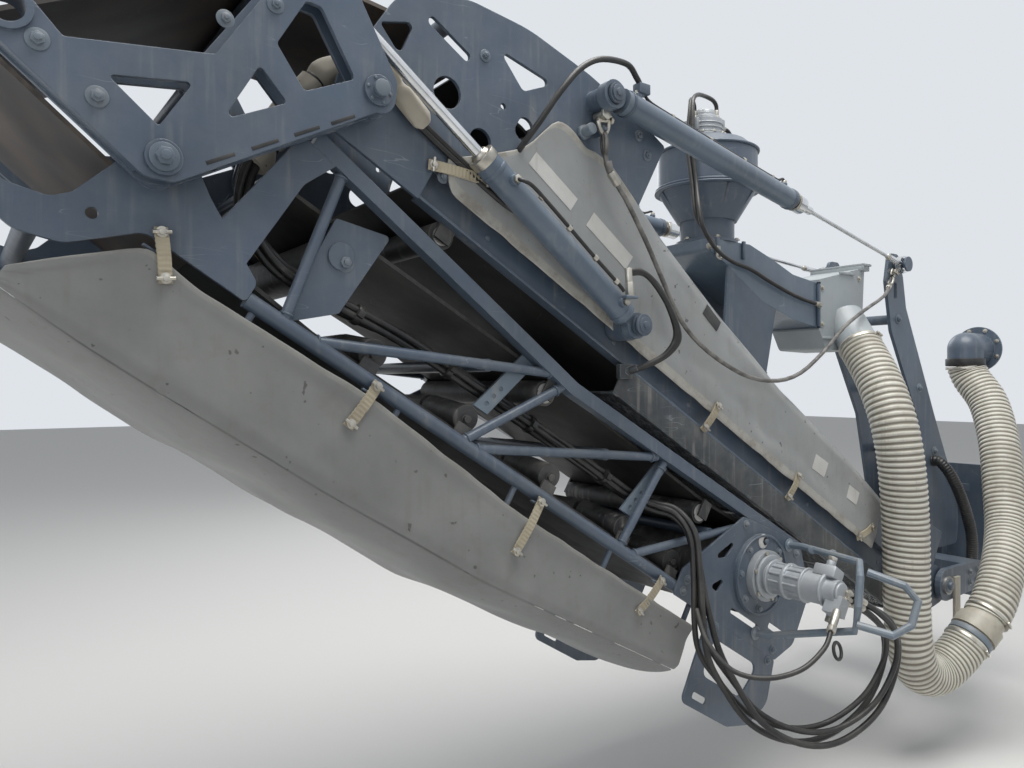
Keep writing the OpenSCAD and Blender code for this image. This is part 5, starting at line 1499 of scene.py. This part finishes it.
for drop in (0, 17):
    under.append(bent([(-3590, -402, 1472 - drop), (-3516, -401, 1424 - drop), (-3428, -401, 1369 - drop),
                       (-3323, -401, 1309 - drop), (-3270, -401, 1290 - drop)], 8, 12, 8))
bridge(joined("rod_side_hoses", under, WORLD, 60), ("link", "inner"), (-3.59, -0.40, 1.46), (-3.40, -0.40, 1.35),
       "hose_black")
print("fold cylinders dressed")

# %% [markdown]
# Each lift cylinder ends in a forked socket and a wire pendant with swaged sleeves. A loop of hose feeds it from
# the cheek, and a hard line runs along its top.
# %% Lift cylinders
LIFT_EYE = Vector((-2985, 466, 1647))
MAST_EYE = Vector((-800, 202, 1382))
for side, tag in ((-1, "near"), (1, "far")):
    foot_at = Vector((LIFT_EYE.x, side * LIFT_EYE.y, LIFT_EYE.z))
    head_at = Vector((MAST_EYE.x, side * MAST_EYE.y, MAST_EYE.z))
    run = (head_at - foot_at).normalized()
    total = (head_at - foot_at).length
    out = Vector((0, side, 0))
    out = (out - run * out.dot(run)).normalized()
    up = run.cross(out) * (side if run.cross(out).z * side > 0 else -side)
    if up.z < 0:
        up = -up

    def at(s, high=0.0, wide=0.0, foot_at=foot_at, run=run, up=up, out=out):
        return foot_at + run * s + up * high + out * wide
    metal = [bar(at(66), at(78), 41, 36, None, 2), bar(at(1066), at(1088), 40.5, 36, None, 2),
             bar(at(120, 30), at(120, 50), 14, 20, None, 2), bar(at(1030, 30), at(1030, 48), 13, 20, None, 2)]
    own(joined("lift_rings_" + tag, metal, WORLD), "lift_barrel_" + tag, "frame_paint")
    fit = [bar(at(120, 50), at(120, 60), 12, 6, None, 1), bar(at(1030, 48), at(1030, 58), 11, 6, None, 1),
           bar(at(1088), at(1100), 26, 28, 22, 1)]
    fit += [bar(at(s - 6, 46), at(s + 6, 46), 8, 14, None, 1) for s in (300, 520, 740, 940)]
    own(joined("lift_fittings_" + tag, fit, WORLD), "lift_barrel_" + tag, "zinc", "pin_steel")
    pipe = bent([at(1030, 56), at(1018, 62), at(990, 50), at(940, 46), at(520, 46), at(240, 46), at(175, 50),
                 at(150, 62), at(140, 66)], 5)
    own(joined("lift_line_" + tag, [pipe], WORLD, 60), "lift_barrel_" + tag, "hose_black")
    block = [slab((-2, -16, -16), (44, 16, 16), 3)]
    block[0].matrix_world = Matrix.Translation(at(112, 66)) @ block[0].matrix_world
    own(joined("lift_block_" + tag, block, WORLD), "lift_barrel_" + tag, "frame_paint")
    loop = bent([at(136, 74), at(100, 92, 6), at(40, 108, 14), (foot_at.x - 70, side * 500, foot_at.z + 78),
                 (foot_at.x - 150, side * 502, foot_at.z + 32), (foot_at.x - 215, side * 490, foot_at.z - 45),
                 (foot_at.x - 262, side * 455, foot_at.z - 130), (foot_at.x - 283, side * 405, foot_at.z - 185),
                 (foot_at.x - 286, side * 394, foot_at.z - 196)], 9, 12)
    loop_piece = joined("lift_hose_" + tag, [loop], WORLD, 60)
    bridge(loop_piece, ("inner", "lift_barrel_" + tag), MM * Vector((foot_at.x - 270, side * 440, foot_at.z - 150)),
           MM * at(110, 80), "hose_black")
    head = [bar(foot_at + Vector((0, side * 30, 0)), foot_at + Vector((0, side * 35, 0)), 24, 32, None, 1.5),
            bar(foot_at + Vector((0, side * 35, 0)), foot_at + Vector((0, side * 41, 0)), 12, 24, None, 1.5)]
    own(joined("lift_pin_" + tag, head, WORLD), "inner", "frame_paint")
    pendant_line = [MM * at(s) for s in (1246, 1400, 1700, 2000, total - 172)]
    pendant = laid_rope("pendant_rope_" + tag, pendant_line, 0.0084)
    own(pendant, "lift_rod_" + tag, "rope_steel")
    swage = [bar(at(1236), at(1262), 15, 20, 10, 1), bar(at(total - 185), at(total - 165), 10, 20, 15, 1),
             bar(at(1106), at(1120), 36, 32, None, 2), bar(at(1158), at(1168), 19, 24, None, 1.5)]
    swage += [bar(at(1128, -30), at(1128, 30), 9, 16, None, 1), bar(at(1128, 30), at(1128, 36), 14, 6, None, 1)]
    own(joined("pendant_fittings_" + tag, swage, WORLD), "lift_rod_" + tag, "zinc", "pin_steel")
print("lift cylinders dressed")

# %% [markdown]
# The safety rope hangs from a shackle below the lifting eye; a thimble and a ferrule end it there, and a shackle
# holds it at the mast head. It bends between the upper section and the slewing frame.
# %% Safety rope fittings
def loop_line(centre, across, along, wide, long, turns=1.0, start=0.0, steps=20):
    """Points of an oval in the plane of two directions."""
    centre, across, along = Vector(centre), Vector(across).normalized(), Vector(along).normalized()
    return [centre + across * (wide * math.cos(start + 2 * math.pi * turns * k / steps)) +
            along * (long * math.sin(start + 2 * math.pi * turns * k / steps)) for k in range(steps + 1)]


shackle = [bent(loop_line((-2983, -430, 1583), (1, 0, 0.2), (0.1, 0, -1), 21, 38, 0.5, 0, 14), 6.5, 12, 5),
           bar((-2962, -430, 1588), (-3006, -430, 1580), 7.5, 16, None, 1.5),
           bar((-2958, -430, 1589), (-2950, -430, 1591), 13, 20, None, 1.5),
           bar((-2985, -398, 1600), (-2985, -440, 1600), 13, 24, None, 2),
           bar((-2985, -438, 1600), (-2985, -450, 1600), 19, 6, None, 1.5)]
own(joined("rope_shackle", shackle, WORLD, 50), "inner", "zinc", "pin_steel")
blue_cap = [bar((-3030, -400, 1548), (-3030, -436, 1552), 17, 24, None, 3),
            bar((-3030, -392, 1548), (-3030, -402, 1549), 24, 6, None, 1.5)]
own(joined("cap_nut", blue_cap, WORLD), "inner", "guard_paint")
thimble = [bent(loop_line((-2980, -431, 1515), (0.3, 0.9, 0), (0.05, 0, -1), 15, 32, 1.0, 0.2, 26), 6.5, 12, 5),
           bar((-2972, -436, 1462), (-2962, -437, 1432), 13, 20, 11, 1.5)]
own(joined("rope_thimble", thimble, WORLD, 50), "inner", "rope_steel")
ferrule = bar((-2962, -437, 1432), (-2933, -438.5, 1398), 12.5, 24, None, 2)
own(joined("rope_ferrule", [ferrule], WORLD), "inner", "zinc", "pin_steel")
end_ferrule = [bar((-905, -190, 1262), (-880, -182, 1277), 12, 24, None, 2),
               bent(loop_line((-852, -174, 1302), (0.3, 1, 0.2), (0.62, 0.1, 0.75), 13, 27, 1.0, 0, 24), 6, 12, 5),
               bent(loop_line((-830, -170, 1332), (0.9, 0.1, -0.4), (0.3, 0, 1), 17, 30, 0.55, -0.1, 16), 6.5, 12, 5),
               bar((-842, -186, 1352), (-806, -186, 1340), 8, 16, None, 1.5)]
own(joined("mast_shackle", end_ferrule, WORLD, 50), "slew", "zinc", "pin_steel")
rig.cord(safety_rope, rope_line[0], line_length(rope_line), 0.0155, "object", "medium", "hanging", path=rope_line)
print("safety rope fittings:", len(shackle) + len(blue_cap) + len(thimble) + len(end_ferrule) + 1, "parts")

# %% [markdown]
# The fan's drum has rolled rims and gussets under its cone. The motor on top is a cast block with flanges, a ring
# of bolts and three thin hoses.
# %% Fan and duct
fan_bits, fan_pins, fan_hoses = [], [], []
FAN = Vector((-2060, -50, 0))


def around(angle, r, z, centre=FAN):
    a = math.radians(angle)
    return centre + Vector((r * math.cos(a), r * math.sin(a), z))


for z, r in ((1580, 206), (1590, 203), (1734, 201)):
    fan_bits.append(bent([around(a, r, z) for a in range(0, 361, 15)], 5.5, 10, 14))
for a in range(20, 380, 45):
    tri = [around(a, 108, 1455), around(a, 118, 1462), around(a, 196, 1572), around(a, 150, 1572)]
    lean = Vector((-math.sin(math.radians(a)), math.cos(math.radians(a)), 0)) * 4
    sides = [(0, 1, 2, 3), (7, 6, 5, 4), (0, 4, 5, 1), (1, 5, 6, 2), (2, 6, 7, 3), (3, 7, 4, 0)]
    fan_bits.append(mesh_piece("gusset", [p + lean for p in tri] + [p - lean for p in tri], sides))
for a in range(0, 360, 30):
    fan_pins += bolt(around(a + 8, 84, 1799, FAN + Vector((-20, 0, 0))), (0, 0, 1), 7, 6, 11)
    if a % 60 == 0:
        fan_pins += bolt(around(a, 118, 1377), (0, 0, 1), 8, 7, 13)
own(joined("fan_rims", fan_bits, WORLD, 40), "inner", "frame_paint")
MOTOR = Vector((-2080, -50, 1775))
cast = [bar(MOTOR + Vector((0, 0, 90)), MOTOR + Vector((0, 0, 104)), 60, 32, None, 3),
        bar(MOTOR + Vector((0, 0, 104)), MOTOR + Vector((0, 0, 132)), 48, 32, 42, 4),
        slab((-2160, -84, 1812), (-2112, -16, 1862), 6), slab((-2046, -92, 1830), (-1996, -40, 1880), 6)]
for z in (30, 48, 66):
    cast.append(bar(MOTOR + Vector((0, 0, z)), MOTOR + Vector((0, 0, z + 6)), 78, 40, None, 2))
own(joined("fan_motor_cast", cast, WORLD), "inner", "motor_alloy")
for low, high in (((-2021, -66, 1878), (-2021, -66, 1918)), ((-2136, -50, 1860), (-2136, -50, 1896)),
                  ((-1998, -62, 1856), (-1968, -66, 1852)), ((-1938, -75, 1768), (-1936, -75, 1796)),
                  ((-1462, -181, 1147), (-1500, -181, 1152)), ((-2196, -171, 1330), (-2198, -196, 1332))):
    a, d = Vector(low), Vector(high) - Vector(low)
    fan_pins += [bar(a, a + d * 0.45, 14, 6, None, 1), bar(a + d * 0.45, a + d, 10.5, 16, None, 1)]
for marks in ([(-2021, -66, 1912), (-2024, -67, 1938), (-2052, -72, 1953), (-2120, -88, 1950), (-2200, -118, 1928),
               (-2252, -142, 1886), (-2272, -158, 1800), (-2282, -168, 1690), (-2290, -190, 1560),
               (-2318, -228, 1450), (-2318, -245, 1380), (-2262, -238, 1328), (-2170, -212, 1298),
               (-2060, -188, 1278), (-1950, -181, 1262), (-1840, -181, 1228), (-1700, -181, 1188),
               (-1580, -181, 1163), (-1496, -181, 1152)],
              [(-2136, -50, 1890), (-2142, -54, 1914), (-2178, -74, 1926), (-2222, -104, 1905), (-2252, -128, 1862),
               (-2272, -138, 1790), (-2286, -148, 1690), (-2298, -176, 1560), (-2312, -206, 1440),
               (-2296, -228, 1378), (-2250, -226, 1342), (-2210, -208, 1333), (-2198, -190, 1332)],
              [(-1972, -66, 1852), (-1950, -68, 1846), (-1937, -72, 1824), (-1936, -75, 1792)]):
    fan_hoses.append(bent(marks, 8.5, 12, 8))
own(joined("fan_hoses", fan_hoses, WORLD, 60), "inner", "hose_black")
own(joined("fan_fasteners", fan_pins, WORLD, 30), "inner", "zinc", "pin_steel")
eye_ring = [bent(loop_line((-2146, -184, 1300), (1, 0, 0.1), (0, 0.2, 1), 15, 15, 1.0, 0, 24), 5, 12, 5),
            slab((-2156, -182, 1310), (-2136, -168, 1336), 3)]
own(joined("duct_eye", eye_ring, WORLD, 50), "inner", "zinc", "pin_steel")
brace = [slab((-2150, -176, 1290), (-2134, -166, 1372), 2), slab((-1990, -176, 1300), (-1974, -166, 1372), 2),
         slab((-1470, -180, 1046), (-1456, 80, 1056), 2), slab((-1470, -180, 1240), (-1456, 80, 1250), 2),
         slab((-1470, -180, 1046), (-1456, -168, 1250), 2), slab((-1470, 68, 1046), (-1456, 80, 1250), 2)]
own(joined("duct_flanges", brace, WORLD), "inner", "frame_paint")
lid = [slab((-1124, -188, 1352), (-1052, 86, 1363), 2), slab((-1124, -188, 1328), (-1116, 86, 1352), 1)]
for z in (1000, 1300):
    lid.append(slab((-1440 if z < 1100 else -1300, -178, z), (-1180, -170, z + 12), 2))
own(joined("duct_box_lid", lid, WORLD), "inner", "box_paint")
box_bolts = []
for x, z in ((-1430, 1065), (-1430, 1225), (-1150, 1020), (-1130, 1290), (-1290, 975)):
    box_bolts += bolt((x, -170, z), (0, -1, 0), 8, 6, 13)
own(joined("duct_box_bolts", box_bolts, WORLD, 30), "inner", "zinc", "pin_steel")
print("fan dressed")

# %% [markdown]
# The drive motor is a cast planetary drive: stepped flanges with bolts, cooling ribs, a port block and fittings.
# Its guard is a bent bar whose feet are welded to the head plate.
# %% Drive end
HUB = Vector((2312, 0, 85))
drive_cast, drive_pins = [], []


def hub(y, dx=0.0, dz=0.0):
    return HUB + Vector((dx, -y, dz))


for y0, y1, r in ((441, 452, 78), (462, 472, 64), (520, 534, 62), (590, 600, 60), (660, 672, 56), (712, 722, 34)):
    drive_cast.append(bar(hub(y0), hub(y1), r, 40, None, 3))
for k in range(12):
    a = math.radians(30 * k)
    drive_cast.append(bar(hub(474, 53 * math.cos(a), 53 * math.sin(a)),
                          hub(590, 53 * math.cos(a), 53 * math.sin(a)), 5, 8, None, 0))
    if k % 2 == 0:
        drive_pins += bolt(hub(440.5, 82 * math.cos(a + 0.2), 82 * math.sin(a + 0.2)), (0, -1, 0), 8, 8, 0)
drive_cast += [slab((2270, -700, 120), (2330, -620, 160), 6), slab((2340, -706, 40), (2384, -640, 90), 6),
               bar((2300, -660, 158), (2300, -660, 182), 15, 20, None, 2),
               bar((2362, -676, 30), (2362, -676, 10), 14, 20, None, 2)]
own(joined("drive_motor_cast", drive_cast, OUTER), "outer", "motor_alloy")
drive_pins += [bar((2300, -660, 182), (2300, -660, 196), 17, 6, None, 1),
               bar((2362, -676, 10), (2362, -676, -6), 16, 6, None, 1),
               bar((2290, -735, 20), (2268, -748, -40), 13, 20, None, 2),
               bar((2268, -748, -40), (2262, -752, -58), 16, 6, None, 1)]
own(joined("drive_fasteners", drive_pins, OUTER, 30), "outer", "zinc", "pin_steel")
small = [bent([(2262, -752, -58), (2240, -760, -120), (2190, -740, -210), (2110, -690, -280), (2040, -620, -300),
               (1985, -540, -250), (1960, -480, -170)], 8, 12, 8),
         bent(loop_line((2347, -742, -92), (1, 0, 0), (0, 0.3, 1), 26, 26, 2.0, 0, 44), 5.5, 10, 5)]
own(joined("drive_small_hoses", small, OUTER, 60), "outer", "hose_black")
feet = []
for x, z in ((2420, 248), (2400, -105)):
    feet += [bar((x, -400, z), (x, -405, z), 25, 24, None, 2), bar((x, -404, z), (x, -412, z), 18, 24, 13, 1)]
for y in (-520, -600):
    feet.append(bar((2386, y, 236), (2380, y - 6, 233), 15, 20, None, 2))
own(joined("guard_feet", feet, OUTER), "outer", "guard_paint")
disc_rim = []
for side in (-1, 1):
    disc_rim.append(bent([(2312 + 139 * math.cos(math.radians(a)), side * 413, 85 + 139 * math.sin(math.radians(a)))
                          for a in range(0, 361, 12)], 4.5, 10, 10))
own(joined("disc_rims", disc_rim, OUTER, 50), "outer", "frame_paint")
blank = bar((2255, -412, 190), (2255, -414.5, 190), 26, 36, None, 0.6)
own(joined("blank_disc", [blank], OUTER), "outer", "label_blank", "guard_paint")
print("drive end dressed")

# %% [markdown]
# Roller ends are worn bright, clamps hold the hoses in pairs, and the weld seams at the truss joints are thin
# beads. These are the last small things on the frames.
# %% Rollers, clamps and welds
bright, clamp_parts, seams = [], [], []
for x in (640, 966, 1310, 1664, 1925):
    for side in (-1, 1):
        bright.append(bar((x, side * 344, -92), (x, side * 350, -92), 17, 24, None, 1.5))
for x, z in ((1168, 156), (1972, 156), (439, 107)):
    for side in (-1, 1):
        bright.append(bar((x, side * 340.5, z), (x, side * 344, z), 30, 32, None, 1))
        bright.append(bar((x, side * 344, z), (x, side * 349, z), 15, 24, None, 1))
own(joined("roller_ends_outer", bright, OUTER), "outer", "label_blank", "roller_steel")
bright = []
for x, z in ((-900, -223), (-1930, -199), (-2967, -182)):
    for side in (-1, 1):
        bright.append(bar((x, side * 340.5, z), (x, side * 344, z), 26, 32, None, 1))
own(joined("roller_ends_inner", bright, INNER), "inner", "pin_steel")
for x, z in ((560, 20), (860, 47), (1180, 56), (1520, 62)):
    clamp_parts.append(bar((x - 9, -318, z), (x + 9, -318, z + 1), 27, 24, None, 2))
    clamp_parts.append(slab((x - 9, -352, z - 10), (x + 9, -318, z + 10), 2))
own(joined("bundle_clamps", clamp_parts, OUTER), "outer", "hose_black")


def seam(centre, r, side, run):
    """A short bead round the foot of a truss diagonal."""
    run = Vector(run).normalized()
    across = run.cross(Vector((0, side, 0)))
    return bent([Vector(centre) + across * (r * math.cos(t)) + Vector((0, side * r * math.sin(t), 0))
                 for t in [math.pi * k / 8 for k in range(9)]], 3.0, 8, 4)


diagonals = [((330, 287), (400, -120)), ((470, -120), (1150, 212)), ((1190, 190), (965, -120)),
             ((1000, -120), (1650, 205)), ((1690, 205), (1650, -120)), ((1700, -120), (2200, 225))]
for side in (-1, 1):
    for (x0, z0), (x1, z1) in diagonals:
        for (x, z), (ex, ez) in (((x0, z0), (x1, z1)), ((x1, z1), (x0, z0))):
            run = Vector((ex - x, 0, ez - z)).normalized()
            seams.append(seam(Vector((x, side * 372, z)) + run * (24 if z < 0 else 26), 15.5, side, run))
own(joined("weld_seams", seams, OUTER, 60), "outer", "frame_paint")
hooks = []
for side in (-1, 1):
    for x in straps_outer:
        y = side * FRAME_HALF
        hooks.append(slab((x - 20, y - 6, -152), (x + 20, y + 8, -146), 2))
own(joined("strap_hooks", hooks, OUTER), "outer", "frame_paint")
print("frames dressed")

# %% [markdown] The safety rope gets its finish and bends between its two bodies.
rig.slot(safety_rope, "rope_steel")
safety_rope.data.materials.append(finishes["rope_steel"])
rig.blend(safety_rope, "inner", "slew", start=(-2.75, -0.44, 1.1), end=(-0.95, -0.21, 1.22))
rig.replaces(safety_rope, "safety_rope")
print("safety rope hung:", round(line_length(rope_line), 3), "m between the cheek and the mast")
low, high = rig.bounds()
json.dump({"cad": [list(cad_low), list(cad_high)], "visual": [list(low), list(high)]}, open("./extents.json", "w"))
